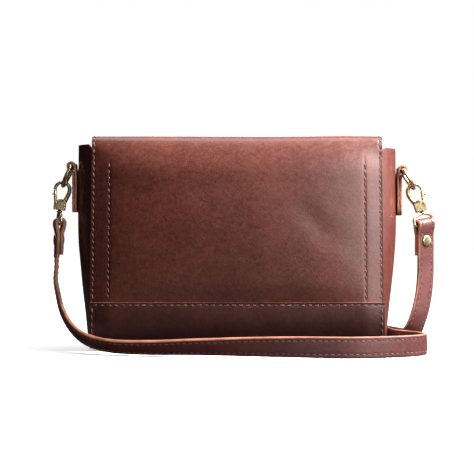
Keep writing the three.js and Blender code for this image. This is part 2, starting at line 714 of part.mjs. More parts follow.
const body = [
  mesh("back_panel", backPanel(), OXBLOOD),
  mesh("front_panel", frontPanel(), OXBLOOD),
  mesh("bottom_band", bottomBand(), OXBLOOD),
  mesh("base_board", baseBoard(), BOARD),
  mesh("slip_pocket", slipPocket(), SUEDE),
];
const flap = [
  mesh("flap_crown", flapCrown(), OXBLOOD),
  mesh("flap_drop", flapDrop(), OXBLOOD),
  mesh("flap_facing", flapFacing(), SUEDE),
];
const strap = mesh("strap_run", strapRun(), STRAP_OXBLOOD);

export default group([...body, ...flap, ...snapParts(), side("left"), side("right"), strap]);
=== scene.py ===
"""Visual model of the leather crossbody purse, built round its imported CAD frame.

Sizes are in millimetres in the frame's own axes, and make_mesh() turns them to metres. A shape is a
pair of verts and faces. A leather piece is a Surface: a profile in Y and Z, swept along X, that is
pushed out or in a little where the hide is puffed, creased or pulled in by its thread. Stitches are
laid on the same surface.
"""

import json
import math

import bpy
import numpy as np
from mathutils import Euler, Matrix, Vector, noise

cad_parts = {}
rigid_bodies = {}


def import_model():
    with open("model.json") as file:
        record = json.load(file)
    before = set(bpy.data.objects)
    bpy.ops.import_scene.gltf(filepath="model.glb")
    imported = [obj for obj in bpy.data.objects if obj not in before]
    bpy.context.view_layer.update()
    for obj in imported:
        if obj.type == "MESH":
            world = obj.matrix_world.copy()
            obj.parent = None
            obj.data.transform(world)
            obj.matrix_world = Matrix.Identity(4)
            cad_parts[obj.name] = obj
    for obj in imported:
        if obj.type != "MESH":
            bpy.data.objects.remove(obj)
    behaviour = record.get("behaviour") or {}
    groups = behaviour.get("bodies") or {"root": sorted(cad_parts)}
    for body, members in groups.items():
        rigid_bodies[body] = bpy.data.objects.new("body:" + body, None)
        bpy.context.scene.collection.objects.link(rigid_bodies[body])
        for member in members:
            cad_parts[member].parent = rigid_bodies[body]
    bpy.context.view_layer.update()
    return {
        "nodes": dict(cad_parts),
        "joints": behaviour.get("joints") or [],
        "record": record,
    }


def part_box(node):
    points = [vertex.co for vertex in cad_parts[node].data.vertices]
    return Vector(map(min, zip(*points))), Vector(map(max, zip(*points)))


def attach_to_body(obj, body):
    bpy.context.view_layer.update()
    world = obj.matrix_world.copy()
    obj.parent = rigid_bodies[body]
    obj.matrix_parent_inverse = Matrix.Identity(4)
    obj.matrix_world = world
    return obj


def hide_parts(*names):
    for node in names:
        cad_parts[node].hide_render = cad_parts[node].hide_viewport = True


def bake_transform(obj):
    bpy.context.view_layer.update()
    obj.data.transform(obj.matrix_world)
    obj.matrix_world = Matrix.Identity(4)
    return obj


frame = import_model()
joints = {joint["name"]: joint for joint in frame["joints"]}

MM = 0.001

# ---- Driving dimensions, in mm ----

HALF_TOP, HALF_BASE = 135.0, 136.8  # half width of the panels
DEPTH_TOP, DEPTH_BASE = 34.0, 37.5  # half depth to the panels' outer faces
BODY_TOP, CREST = 186.0, 200.0
FRONT_TOP = BODY_TOP - 6
HIDE, SIDE_HIDE, POCKET_HIDE, FACING = 2.0, 1.5, 1.2, 1.3  # thicknesses of the leathers
LAP = HIDE + 0.3  # a hide and the gap to what it is sewn to
PANEL_FOOT, BAND_TOP, BAND_CORNER = 37.0, 47.0, 7.0
POCKET_HALF, POCKET_TOP, POCKET_FOOT = 118.0, 175.0, 48.5
EDGE_INSET = 2.4  # stitch rows in from an edge
EDGE_ROW = HALF_TOP - EDGE_INSET
BAND_ROW, FRONT_ROW = 4.0, 4.0  # the long rows of the band and front, in from their top edges
FLAP_EDGE, FLAP_CORNER, FLAP_FLARE = 60.0, 22.0, 8.6
BACK_ROLL, FRONT_ROLL, STAND_OFF = 13.0, 14.0, 4.4
ROLL_HEIGHT = 42.0  # how far below the crest the back's soft roll starts
BACK_CENTRE_Y = -DEPTH_TOP + BACK_ROLL
FRONT_CENTRE = (DEPTH_TOP + STAND_OFF - FRONT_ROLL, CREST - FRONT_ROLL)

ROW_PITCH, SIDE_PITCH, BACK_PITCH, TAB_PITCH, STRAP_PITCH = 6.3, 6.2, 5.6, 4.6, 5.4  # of stitches

STRAP_WIDTH, STRAP_THICK, STRAP_ROW = 19.0, 3.4, 6.0  # the stitch rows are out from the middle
TAB_FACE, TAB_WIDTH, TAB_THICK = 150.9, 18.0, 2.4
RING_WIRE, EYE_WIRE = 1.75, 1.4  # radii
COLLAR_FOOT = 26.8  # from the top of the hook to the underside of its collar
EYE_DROP = 40.0  # from the top of the hook to the swivel eye's bar
STUD_DROP = -15.0  # strap stud, below the bar
GATE_HEIGHT = -19.8  # the gate's pin, from the top of the hook


# ---- Small helpers ----


def srgb(red, green, blue):
    """A colour given as 0 to 255 screen values, in the linear values that Blender uses."""
    scaled = [value / 255 for value in (red, green, blue)]
    return (*[v / 12.92 if v <= 0.04045 else ((v + 0.055) / 1.055) ** 2.4 for v in scaled], 1.0)


def grey(level):
    return (level, level, level, 1)


def smooth(t):
    t = np.clip(t, 0, 1)
    return t * t * (3 - 2 * t)


def unit(vectors):
    return vectors / np.maximum(np.linalg.norm(vectors, axis=-1, keepdims=True), 1e-9)


def lerp(a, b, t):
    return a + (b - a) * t


def half_depth(z):
    return lerp(DEPTH_BASE, DEPTH_TOP, np.asarray(z) / BODY_TOP)


def half_width(z):
    return lerp(HALF_BASE, HALF_TOP, np.clip(np.asarray(z) / BODY_TOP, 0, 1))


def arc(centre, radius, start, end, count):
    angles = np.radians(np.linspace(start, end, count))
    return [(centre[0] + radius * math.cos(a), centre[1] + radius * math.sin(a)) for a in angles]


def circle(centre, radius, count):
    """Points all the way round, the first of them at angle 0."""
    return arc(centre, radius, 0, 360, count + 1)[:-1]


def edge_dip(x):
    """How far the panels, band and flanges curve in towards the gussets near their side edges."""
    deepest, start, reach = 3.6, 115, 23
    return deepest * smooth((np.abs(x) - start) / reach)


def bumpy(x, z, size, seed):
    """Smooth noise between -1 and 1, with lumps of about the given size."""
    flat_x, flat_z = np.broadcast_arrays(x, z)
    places = zip(flat_x.ravel(), flat_z.ravel())
    values = [noise.noise(Vector((a / size, b / size, seed))) for a, b in places]
    return np.array(values).reshape(flat_x.shape)


def valley(distance, depth=0.28, width=1.1):
    """A stitch channel: how far the hide is pulled in at a distance from the row."""
    return depth * np.exp(-((distance / width) ** 2))


def inside(low, high, marks, step):
    """Values from low to high, closer together near the marks, where stitch rows run."""
    plain = np.linspace(low, high, int((high - low) / step) + 1)
    close = [mark + d for mark in marks for d in (-2.4, -1.6, -1, -0.5, 0, 0.5, 1, 1.6, 2.4)]
    every = np.unique(np.round(np.concatenate([plain, close]), 3))
    return every[(every >= low) & (every <= high)]


def across_piece(half, marks, step=3.0):
    return inside(-half, half, [side * mark for mark in marks for side in (-1, 1)], step)


# ---- Meshes ----


def make_mesh(name, verts, faces, materials, indices=None):
    mesh = bpy.data.meshes.new(name)
    mesh.from_pydata((np.asarray(verts) * MM).tolist(), [], faces)
    for material in materials:
        mesh.materials.append(material)
    if indices is not None:
        mesh.polygons.foreach_set("material_index", np.asarray(indices, np.int32))
    mesh.shade_smooth()
    mesh.update()
    obj = bpy.data.objects.new(name, mesh)
    bpy.context.scene.collection.objects.link(obj)
    return obj


def fasten(obj, ride):
    """Fastens a piece to a body, given by name, or passes it to a ride function, which here only bakes
    its transform.
    """
    if callable(ride):
        ride(obj)
    else:
        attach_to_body(obj, ride)


def attach(obj, finish, ride, *nodes):
    """Hides the CAD nodes that a piece stands for and gives the piece its ride."""
    if nodes:
        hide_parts(*nodes)
    fasten(obj, ride)


def round_edges(obj, width, segments=3, limit="ANGLE"):
    bevel = obj.modifiers.new("rounded", "BEVEL")
    bevel.width = width * MM
    bevel.segments = segments
    bevel.limit_method = limit
    bevel.angle_limit = math.radians(40)
    bevel.harden_normals = True
    bevel.miter_outer = "MITER_ARC"


def set_edges(obj, name, kind, values):
    obj.data.attributes.new(name, kind, "EDGE").data.foreach_set("value", values)


def grid_normals(grid):
    along = np.gradient(grid, axis=0)
    across = np.gradient(grid, axis=1)
    return unit(np.cross(across, along))


def solid_sheet(name, grid, thickness, materials, bevel=0.45, seam=None):
    """A closed sheet of leather: outer face, inner face and raw edge, in that order of material.

    seam is "first" or "last" for a row of the grid that butts against another sheet of the same hide.
    """
    levels, columns = grid.shape[:2]
    inner = grid - grid_normals(grid) * thickness
    verts = np.concatenate([grid.reshape(-1, 3), inner.reshape(-1, 3)])
    count = levels * columns
    faces, indices = [], []
    for i in range(levels - 1):
        for a in range(i * columns, (i + 1) * columns - 1):
            quad = (a, a + 1, a + columns + 1, a + columns)
            faces += [quad, tuple(count + k for k in reversed(quad))]
            indices += [0, 1]
    places = np.arange(count).reshape(levels, columns)
    foot, head = places[0].tolist(), places[-1, ::-1].tolist()
    rim = foot[:-1] + places[:-1, -1].tolist() + head[:-1] + places[:0:-1, 0].tolist()
    rim_edges = list(zip(rim, rim[1:] + rim[:1]))
    faces += [(b, a, a + count, b + count) for a, b in rim_edges]
    indices += [2] * len(rim)
    obj = make_mesh(name, verts, faces, materials, indices)
    butted = {"first": set(foot), "last": set(head)}.get(seam, set())
    weigh_rim(obj, {frozenset(ends) for ends in rim_edges}, butted, count)
    round_edges(obj, bevel, limit="WEIGHT")
    return obj


def weigh_rim(obj, rim, butted, count):
    """Rounds the free edges of a sheet and keeps a butted row sharp, so that its joint can't be seen."""
    weights, sharp = [], []
    for edge in obj.data.edges:
        ends = frozenset(v % count for v in edge.vertices)
        on_rim = ends in rim
        at_seam = ends <= butted
        weights.append(1.0 if on_rim and not at_seam else 0.0)
        sharp.append(on_rim and at_seam)
    set_edges(obj, "bevel_weight_edge", "FLOAT", weights)
    set_edges(obj, "sharp_edge", "BOOLEAN", sharp)


def skin(levels, count, first=0, closed=False, flip=False):
    """Quads that join rings of count points, level by level, from the verts' place first on.

    closed joins the last ring to the first one, and flip turns the quads to face the other way.
    """
    faces = []
    for i in range(levels if closed else levels - 1):
        above = (i + 1) % levels * count
        for k in range(count):
            following = (k + 1) % count
            ring = [i * count + k, i * count + following, above + following, above + k]
            if flip:
                ring[1:] = reversed(ring[1:])
            faces.append(tuple(first + v for v in ring))
    return faces


def tube(path, radii, normal, closed=False, sides=20):
    """A round bar along a flat path. normal is the path's plane normal."""
    path = np.asarray(path, float)
    normal = np.asarray(normal, float)
    radii = np.broadcast_to(np.asarray(radii, float), len(path))
    if closed:
        along = np.roll(path, -1, 0) - np.roll(path, 1, 0)
    else:
        along = np.gradient(path, axis=0)
    side = unit(np.cross(unit(along), normal))
    rings = []
    for a in np.linspace(0, 2 * np.pi, sides, endpoint=False):
        rings.append(path + radii[:, None] * (side * math.cos(a) + normal * math.sin(a)))
    verts = np.stack(rings, 1).reshape(-1, 3)
    faces = skin(len(path), sides, closed=closed, flip=True)
    if not closed:
        faces += [tuple(range(sides)), tuple(reversed(range(len(verts) - sides, len(verts))))]
    return verts, faces


def turned(profile, sides=40):
    """A shape turned about Z from (radius, z) pairs that run up from axis to axis."""
    verts = [(0, 0, profile[0][1])]
    for radius, z in profile[1:-1]:
        verts += [(x, y, z) for x, y in circle((0, 0), radius, sides)]
    verts.append((0, 0, profile[-1][1]))
    top = len(verts) - 1
    base = top - sides
    faces = [(0, 1 + (k + 1) % sides, 1 + k) for k in range(sides)]
    faces += skin(len(profile) - 2, sides, first=1)
    faces += [(base + k, base + (k + 1) % sides, top) for k in range(sides)]
    return np.array(verts, float), faces


def box_shape(low, high):
    """A plain box; its piece is bevelled later."""
    verts = [(x, y, z) for z in (low[2], high[2]) for y in (low[1], high[1]) for x in (low[0], high[0])]
    faces = [(0, 2, 3, 1), (4, 5, 7, 6), (0, 1, 5, 4), (2, 6, 7, 3), (0, 4, 6, 2), (1, 3, 7, 5)]
    return np.array(verts, float), faces


def moved(points, matrix):
    m = np.array(matrix, float)
    return points @ m[:3, :3].T + m[:3, 3]


def placed(shape, matrix):
    """A shape moved by a 4 by 4 matrix."""
    return moved(shape[0], matrix), shape[1]


def merged(*shapes):
    verts, faces, offset = [], [], 0
    for shape_verts, shape_faces in shapes:
        verts.append(shape_verts)
        faces += [tuple(offset + k for k in face) for face in shape_faces]
        offset += len(shape_verts)
    return np.concatenate(verts), faces


# ---- Materials ----


class Look:
    """The node tree of a new material, or of a world, with one short call for each node."""

    def __init__(self, owner, coordinates="Object"):
        self.owner = bpy.data.materials.new(owner) if isinstance(owner, str) else owner
        self.owner.use_nodes = True
        self.tree = self.owner.node_tree
        self.tree.nodes.clear()
        self.place = self.add("TexCoord").outputs[coordinates]

    def add(self, kind, *ordered, settings=None, **named):
        """A node whose inputs are fed in their order, or by name with _ for a space."""
        made = self.tree.nodes.new("ShaderNode" + kind)
        for key, value in (settings or {}).items():
            setattr(made, key, value)
        for k, value in enumerate(ordered):
            self.feed(made.inputs[k], value)
        for key, value in named.items():
            self.feed(made.inputs[key.replace("_", " ")], value)
        return made

    def feed(self, socket, value):
        if isinstance(value, bpy.types.NodeSocket):
            self.tree.links.new(value, socket)
        else:
            socket.default_value = value

    def noise(self, size, detail=3.0, roughness=0.55, distortion=0.0, stretch=(1, 1, 1)):
        """Noise whose lumps are about this many mm across."""
        scale = self.add("Mapping", Vector=self.place, Scale=stretch)
        made = self.add(
            "TexNoise", Vector=scale.outputs[0], Scale=1000 / size,
            Detail=detail, Roughness=roughness, Distortion=distortion,
        )
        return made.outputs["Fac"]

    def cells(self, size):
        return self.add("TexVoronoi", Vector=self.place, Scale=1000 / size).outputs["Distance"]

    def ramp(self, factor, *stops):
        made = self.add("ValToRGB", Fac=factor)
        elements = made.color_ramp.elements
        while len(elements) < len(stops):
            elements.new(0.5)
        for element, (position, colour) in zip(elements, stops):
            element.position = position
            element.color = colour
        return made.outputs["Color"]

    def spread(self, factor, low, high, start=0.3, end=0.7, curve="LINEAR"):
        """Goes from low to high while factor goes from start to end."""
        made = self.add(
            "MapRange", settings={"interpolation_type": curve}, Value=factor,
            From_Min=start, From_Max=end, To_Min=low, To_Max=high,
        )
        return made.outputs[0]

    def mix(self, factor, a, b, blend="MIX"):
        made = self.add("Mix", factor, settings={"data_type": "RGBA", "blend_type": blend})
        self.feed(made.inputs[6], a)
        self.feed(made.inputs[7], b)
        return made.outputs[2]

    def maths(self, operation, a, b=0.0):
        return self.add("Math", a, b, settings={"operation": operation}).outputs[0]

    def bump(self, height, depth, under=None):
        normal = {} if under is None else {"Normal": under}
        made = self.add("Bump", Height=height, Strength=1.0, Distance=depth * MM, **normal)
        return made.outputs[0]

    def for_camera(self, seen, other):
        """A shader that the camera sees as one thing and everything else as another."""
        camera = self.add("LightPath").outputs["Is Camera Ray"]
        return self.add("MixShader", camera, other.outputs[0], seen.outputs[0])

    def show(self, shader, target="Material"):
        self.add("Output" + target, Surface=shader.outputs[0])

    def finish(self, **inputs):
        self.show(self.add("BsdfPrincipled", **inputs))
        return self.owner


def leather(name, tones, roughness=0.38, coat=0.2, shine=0.75, painted_foot_shade=False):
    """Smooth waxed leather: faint clouds, a pulled fibre grain, pores and an uneven gloss, with optional
    painted shade at the foot, where the colour goes towards black and the sheen fades.
    """
    look = Look(name)
    clouds = look.noise(48, 4, 0.6)
    mottle = look.noise(4, 5, 0.65, 0.5)
    creases = look.noise(4.5, 6, 0.7, 1.2)
    fibres = look.noise(1.8, 4, 0.7, 0.4, (0.6, 1, 1))
    pores = look.cells(1.5)
    fine = look.noise(0.9, 2)
    tone = look.maths("ADD", look.maths("MULTIPLY", clouds, 0.3), look.maths("MULTIPLY", mottle, 0.35))
    tone = look.maths("ADD", tone, look.maths("MULTIPLY", fibres, 0.35))
    colour = look.ramp(tone, *[(at, srgb(*shade)) for at, shade in zip((0.38, 0.5, 0.62), tones)])
    specks = look.ramp(pores, (0.0, grey(0.6)), (0.35, grey(1)))
    colour = look.mix(0.6, colour, specks, "MULTIPLY")
    # Painted shade near the floor: the colour darkens towards black and the sheen fades towards the
    # foot.
    if painted_foot_shade:
        height = look.add("SeparateXYZ", Vector=look.place).outputs["Z"]
        shade = look.spread(height, 0.2, 1.0, 0.008, 0.05)
        colour = look.mix(shade, (0.004, 0.002, 0.002, 1), colour)
        shine = look.spread(height, 0.1, shine, 0.008, 0.05)
    gloss = look.spread(mottle, roughness - 0.05, roughness + 0.06)
    relief = look.bump(pores, 0.05)
    relief = look.bump(fine, 0.03, relief)
    relief = look.bump(creases, 0.1, relief)
    return look.finish(
        Base_Color=colour, Roughness=gloss, Normal=relief, Specular_IOR_Level=shine,
        Coat_Weight=coat, Coat_Roughness=0.26, Coat_IOR=1.5,
    )


def raw_edge(name, dark, light):
    """The cut edge of vegetable-tanned hide: fibres, lightly burnished."""
    look = Look(name)
    fibres = look.noise(1.6, 6, 0.7, 0.5)
    patches = look.noise(16, 3)
    colour = look.mix(look.spread(patches, 0, 1), srgb(*dark), srgb(*light))
    colour = look.mix(look.spread(fibres, 0.0, 0.45), colour, srgb(*dark))
    return look.finish(Base_Color=colour, Roughness=0.6, Normal=look.bump(fibres, 0.12))


def suede(name, dark, light):
    """The napped flesh side."""
    look = Look(name)
    nap = look.noise(0.9, 5, 0.7)
    patches = look.noise(28, 4, 0.6)
    colour = look.mix(look.spread(patches, 0.3, 0.7), srgb(*dark), srgb(*light))
    colour = look.mix(look.spread(nap, 0, 0.4), colour, srgb(*dark))
    return look.finish(
        Base_Color=colour, Roughness=0.95, Normal=look.bump(nap, 0.2), Sheen_Weight=0.35,
        Sheen_Roughness=0.5, Specular_IOR_Level=0.2,
    )


def thread(name, dark, light):
    """Waxed thread: slanting plies and a little dirt."""
    look = Look(name)
    plies = look.add("TexWave", Vector=look.place, Scale=650, Distortion=0.6).outputs["Fac"]
    colour = look.mix(look.spread(look.noise(7, 3), 0, 1), srgb(*dark), srgb(*light))
    return look.finish(
        Base_Color=colour, Roughness=0.65, Normal=look.bump(plies, 0.07), Sheen_Weight=0.06,
        Coat_Weight=0.05,
    )


def brass(name, bright, tarnished, roughness=0.2):
    """Antique brass: bright where it is rubbed, brown where it isn't."""
    look = Look(name)
    patina = look.noise(5, 4, 0.6)
    scratches = look.noise(1.2, 4, 0.6, 0, (1, 1, 6))
    hollows = look.add("AmbientOcclusion", settings={"samples": 6}, Distance=2.2 * MM)
    worn = look.maths("MULTIPLY", look.spread(patina, 0.45, 1, 0.35, 0.6), hollows.outputs["AO"])
    colour = look.mix(look.spread(worn, 0, 1, 0.35, 0.85), srgb(*tarnished), srgb(*bright))
    gloss = look.spread(patina, roughness + 0.16, roughness)
    return look.finish(
        Base_Color=colour, Metallic=1.0, Roughness=gloss, Normal=look.bump(scratches, 0.02)
    )


def steel(name):
    look = Look(name)
    haze = look.noise(3, 4, 0.6, 0, (1, 1, 5))
    colour = look.mix(look.spread(haze, 0, 1), srgb(120, 118, 114), srgb(176, 174, 170))
    return look.finish(Base_Color=colour, Metallic=1.0, Roughness=0.34, Normal=look.bump(haze, 0.02))


def board(name):
    look = Look(name)
    pulp = look.noise(2.2, 5, 0.7)
    colour = look.mix(look.spread(pulp, 0, 1), srgb(70, 54, 44), srgb(104, 84, 70))
    return look.finish(Base_Color=colour, Roughness=0.9, Normal=look.bump(pulp, 0.15))


HULL = leather("oxblood_leather", ((78, 30, 20), (96, 41, 28), (116, 54, 38)))
# Painted shade: the band's leather is darker than the hull's, and near the floor its colour goes towards
# black and its sheen fades.
BAND_HIDE = leather(
    "band_leather", ((62, 25, 18), (76, 33, 24), (90, 42, 32)), coat=0.0, shine=0.7, painted_foot_shade=True
)
SIDE = leather("gusset_leather", ((76, 31, 24), (92, 41, 32), (106, 52, 41)))
STRAP = leather("strap_leather", ((74, 34, 31), (90, 43, 40), (104, 53, 50)), 0.48, 0.05, 0.55)
FLESH = suede("leather_flesh_side", (92, 58, 42), (130, 88, 66))
DARK_EDGE = raw_edge("burnished_edge", (46, 24, 18), (92, 50, 36))
TAN_EDGE = raw_edge("raw_tan_edge", (128, 72, 52), (196, 128, 98))
BAND_EDGE = raw_edge("band_edge", (72, 36, 27), (158, 94, 70))
THREAD = thread("waxed_thread", (108, 60, 52), (148, 92, 82))
# Painted shade: near-black plugs that stand for the shade in the needle holes.
HOLE_SHADE = raw_edge("needle_hole", (14, 7, 6), (26, 12, 10))
BRASS = brass("antique_brass", (240, 214, 164), (122, 100, 56))
STEEL = steel("bright_steel")
BOARD = board("stiffening_board")


# ---- Leather surfaces ----


class Surface:
    """A hide whose profile in Y and Z is swept along X. point() takes x and the way along it, s."""

    def __init__(self, profile, push, width=None, side_curve=edge_dip):
        self.profile = np.array(profile, float)
        steps = np.linalg.norm(np.diff(self.profile, axis=0), axis=1)
        self.at = np.concatenate([[0], np.cumsum(steps)])
        self.length = self.at[-1]
        self.push = push
        self.width = width or (lambda z: half_width(z) / HALF_TOP)
        self.side_curve = side_curve

    def base(self, s):
        return np.stack([np.interp(s, self.at, self.profile[:, k]) for k in (0, 1)], -1)

    def outward(self, s):
        ahead = self.base(np.minimum(s + 0.6, self.length))
        behind = self.base(np.maximum(s - 0.6, 0))
        along = unit(ahead - behind)
        return np.stack([-along[..., 1], along[..., 0]], -1)

    def point(self, x, s):
        x, s = np.broadcast_arrays(np.asarray(x, float), np.asarray(s, float))
        y, z = np.moveaxis(self.base(s), -1, 0)
        out_y, out_z = np.moveaxis(self.outward(s), -1, 0)
        upright = smooth((CREST - 4 - z) / 18)
        lift = self.push(x, y, z) - self.side_curve(x) * upright
        return np.stack([x * self.width(z), y + out_y * lift, z + out_z * lift], -1)

    def normal(self, x, s):
        step = 0.5
        across = self.point(x + step, s) - self.point(x - step, s)
        along = self.point(x, s + step) - self.point(x, s - step)
        return unit(np.cross(across, along))

    def grid(self, xs, marks, step):
        """Points at these x, row by row along the profile, closer together near the marks."""
        return self.point(xs[None, :], inside(0, self.length, marks, step)[:, None])

    def way_at(self, z):
        """The first place where the profile reaches this height."""
        ways = np.linspace(0, self.length, 2000)
        return float(ways[np.argmin(np.abs(self.base(ways)[:, 1] - z))])

    def row(self, xs, ways, pitch, **options):
        return stitched_row(self.point(xs, ways), self.normal(xs, ways), pitch, **options)

    def side_rows(self, x, start, end, count, pitch, **options):
        """A row on each side of the middle, from one place along the profile to another."""
        ways = np.linspace(start, end, count)
        return [self.row(side * x, ways, pitch, **options) for side in (-1, 1)]

    def cross_row(self, way):
        return self.row(np.linspace(-EDGE_ROW, EDGE_ROW, 120), way, ROW_PITCH)


# ---- Stitches ----


def stitch_shape():
    """One stitch, 1 long and lying along X, with its ends dipping into the hide."""
    rings, sides = 7, 6
    verts = []
    for t in np.linspace(0, 1, rings):
        thick = math.sin(math.pi * (0.12 + 0.76 * t)) ** 0.5
        lift = math.sin(math.pi * t) ** 0.6 - 0.75
        verts += [(t - 0.5, y, z) for y, z in circle((0, lift), thick, sides)]
    last = (rings - 1) * sides
    caps = [tuple(range(sides)), tuple(reversed(range(last, last + sides)))]
    return np.array(verts), skin(rings, sides, flip=True) + caps


STITCH = stitch_shape()


def stitched_row(points, normals, pitch, length=0.74, thick=0.5, slant=6.0):
    """Stitches along a line of points on a surface, as one shape, and dark plugs of painted shade in the
    holes between them.
    """
    steps = np.linalg.norm(np.diff(points, axis=0), axis=1)
    at = np.concatenate([[0], np.cumsum(steps)])
    count = max(int(at[-1] / pitch), 1)
    places = (np.arange(count) + 0.5) * at[-1] / count

    def sample(values, s):
        return np.stack([np.interp(s, at, values[:, k]) for k in range(3)], -1)

    stitches, holes = [], []
    for place in places:
        along = unit(sample(points, place + 0.4 * pitch) - sample(points, place - 0.4 * pitch))
        up = sample(normals, place)
        up = unit(up - along * (up @ along))
        side = np.cross(up, along)
        turn = math.radians(slant)
        run = along * math.cos(turn) + side * math.sin(turn)
        axes = np.stack([run * pitch * length, np.cross(up, run) * thick, up * thick])
        centre = sample(points, place) + up * 0.08
        stitches.append((STITCH[0] @ axes + centre, STITCH[1]))
        holes.append(needle_hole(sample(points, place + 0.5 * pitch), along, side, up))
    return merged(*stitches), merged(*holes)


def needle_hole(centre, along, side, up):
    """A low dark plug of painted shade that fills the hole between two stitches."""
    sides = 6
    verts = []
    for lift, size in ((-0.35, 0.56), (0.03, 0.8), (0.06, 0.44)):
        for c, s in circle((0, 0), size, sides):
            verts.append(centre + along * c * 0.8 + side * s * 0.9 + up * lift)
    caps = [tuple(reversed(range(sides))), tuple(range(2 * sides, 3 * sides))]
    return np.array(verts), caps + skin(3, sides)


def thread_piece(name, rows, ride):
    """One piece for the thread of some rows and one for the painted shade of their needle holes."""
    for part, material, tag in ((0, THREAD, "thread"), (1, HOLE_SHADE, "needle_holes")):
        shape = merged(*[row[part] for row in rows])
        fasten(make_mesh(f"{name}_{tag}", *shape, [material]), ride)


# ---- Body ----


def bend_over_back(obj):
    """Bakes the transform of a piece that lies between the purse and the flap's crown, round the back
    roll; it does not bend it.
    """
    y, z = joints["flap_lift"]["pos_m"][1:]
    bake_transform(obj)


def bend_over_front(obj):
    """Bakes the transform of a piece that lies between the flap's crown and its drop, round the front
    roll; it does not bend it.
    """
    y, z = joints["flap_unroll"]["pos_m"][1:]
    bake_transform(obj)


def back_profile():
    """Up the back, then over in a long soft roll to the middle of the crest."""
    foot = [(-half_depth(z), z) for z in np.linspace(PANEL_FOOT, CREST - ROLL_HEIGHT, 40)]
    start = foot[-1][0]
    roll = []
    for angle in np.radians(np.linspace(0, 90, 40)[1:]):
        y = start + (BACK_CENTRE_Y - start) * (1 - math.cos(angle))
        roll.append((y, CREST - ROLL_HEIGHT * (1 - math.sin(angle))))
    return foot + roll + [(y, CREST) for y in np.linspace(BACK_CENTRE_Y + 1, 0, 8)]


# Soft dents in the back: middle in x and z, half lengths along and across, turn in degrees, depth.
BACK_DENTS = ((78, 112, 30, 11, -46, -0.9), (92, 94, 24, 11, -50, 0.6), (-30, 150, 60, 16, 8, -0.5))


def dents(x, z):
    total = 0
    for mid_x, mid_z, long, wide, turn, depth in BACK_DENTS:
        c, s = math.cos(math.radians(turn)), math.sin(math.radians(turn))
        along = ((x - mid_x) * c + (z - mid_z) * s) / long
        across = ((z - mid_z) * c - (x - mid_x) * s) / wide
        total = total + depth * np.exp(-(along**2) - across**2)
    return total


def back_push(x, y, z):
    """The back is a little puffed between its pocket stitches and drawn in along every row."""
    all_over, in_middle = 2.2, 5.0
    u = np.clip(np.abs(x) / POCKET_HALF, 0, 1)
    rise = np.clip((z - PANEL_FOOT) / (CREST - PANEL_FOOT), 0, 1)
    puff = all_over * (1 - u**5) * smooth(rise * 6) * smooth((1 - rise) * 5)
    puff = (puff + in_middle * (1 - u**2) * np.sin(np.pi * rise)) * (y < BACK_CENTRE_Y - 1)
    waves = 0.6 * bumpy(x, z, 62, 3.1) + 0.12 * bumpy(x, z, 17, 7.7)
    within = smooth((z - POCKET_FOOT + 4) / 5) * smooth((POCKET_TOP + 4 - z) / 5)
    pocket = valley(np.abs(x) - POCKET_HALF) * within
    edge = valley(np.abs(x) - EDGE_ROW)
    return puff + waves + dents(x, z) * (y < -20) - pocket - edge


def build_back():
    """The back panel. A few stitches are sewn twice where its rows pass the pocket's top."""
    surface = Surface(back_profile(), back_push)
    grid = surface.grid(across_piece(HALF_TOP, (POCKET_HALF, EDGE_ROW)), (), 2.6)
    obj = solid_sheet("back_cover", grid, HIDE, [HULL, FLESH, DARK_EDGE], seam="last")
    attach(obj, "oxblood_hide", bend_over_back, "back_panel")
    foot, head = surface.way_at(BAND_TOP + 1), surface.way_at(POCKET_TOP)
    lines = []
    for x, start, end, count, slant in (
        (POCKET_HALF, head, foot, 60, 18), (POCKET_HALF + 0.5, head + 1, head - 20, 60, -20),
        (EDGE_ROW, foot, surface.length - 2, 90, 18), (EDGE_ROW + 0.6, head, head + 22, 60, -20),
    ):
        lines += surface.side_rows(x, start, end, count, BACK_PITCH, slant=slant)
    thread_piece("back_cover", lines, bend_over_back)


def band_profile():
    """From the top edge at the front, down, under the base and up to the top edge at the back."""
    side = DEPTH_BASE + LAP - BAND_CORNER
    front = [(half_depth(z) + LAP, z) for z in np.linspace(BAND_TOP, BAND_CORNER + 1, 20)]
    down = arc((side, BAND_CORNER), BAND_CORNER, 0, -90, 10)
    across = [(y, 0.0) for y in np.linspace(side - 1, 1 - side, 20)]
    up = arc((-side, BAND_CORNER), BAND_CORNER, 270, 180, 10)
    return front + down + across + up + [(-y, z) for y, z in reversed(front)]


def band_push(x, y, z):
    """The band's top edges stand out as a lip and its lower sides are tucked in."""
    upright = smooth((z - 8) / 10)
    waves = 0.3 * bumpy(x, z * 2 + y, 40, 11.3)
    row = valley(z - (BAND_TOP - BAND_ROW))
    lip = 0.25 * smooth((z - BAND_TOP + 3) / 3)
    deepest, start, reach = 3.2, 36, 30
    tucked = deepest * np.clip((start - z) / reach, 0, 1) ** 2 * (np.abs(y) > 30)
    return upright * (waves + lip) - row - tucked


def build_band():
    surface = Surface(band_profile(), band_push, side_curve=lambda x: 0.8 * edge_dip(x))
    length = surface.length
    marks = (BAND_ROW, length - BAND_ROW)
    grid = surface.grid(across_piece(HALF_TOP, (EDGE_ROW,)), marks, 2.5)
    obj = solid_sheet("wrapped_band", grid, HIDE, [BAND_HIDE, FLESH, BAND_EDGE])
    attach(obj, "oxblood_hide", "purse", "bottom_band")
    lines = [surface.cross_row(way) for way in marks]
    for start, end in ((6, 38), (length - 38, length - 6)):
        lines += surface.side_rows(EDGE_ROW, start, end, 30, SIDE_PITCH)
    thread_piece("wrapped_band", lines, "purse")


def front_push(x, y, z):
    waves = 0.3 * bumpy(x, z, 44, 21.3)
    return waves - valley(np.abs(x) - EDGE_ROW) - valley(z - (FRONT_TOP - FRONT_ROW))


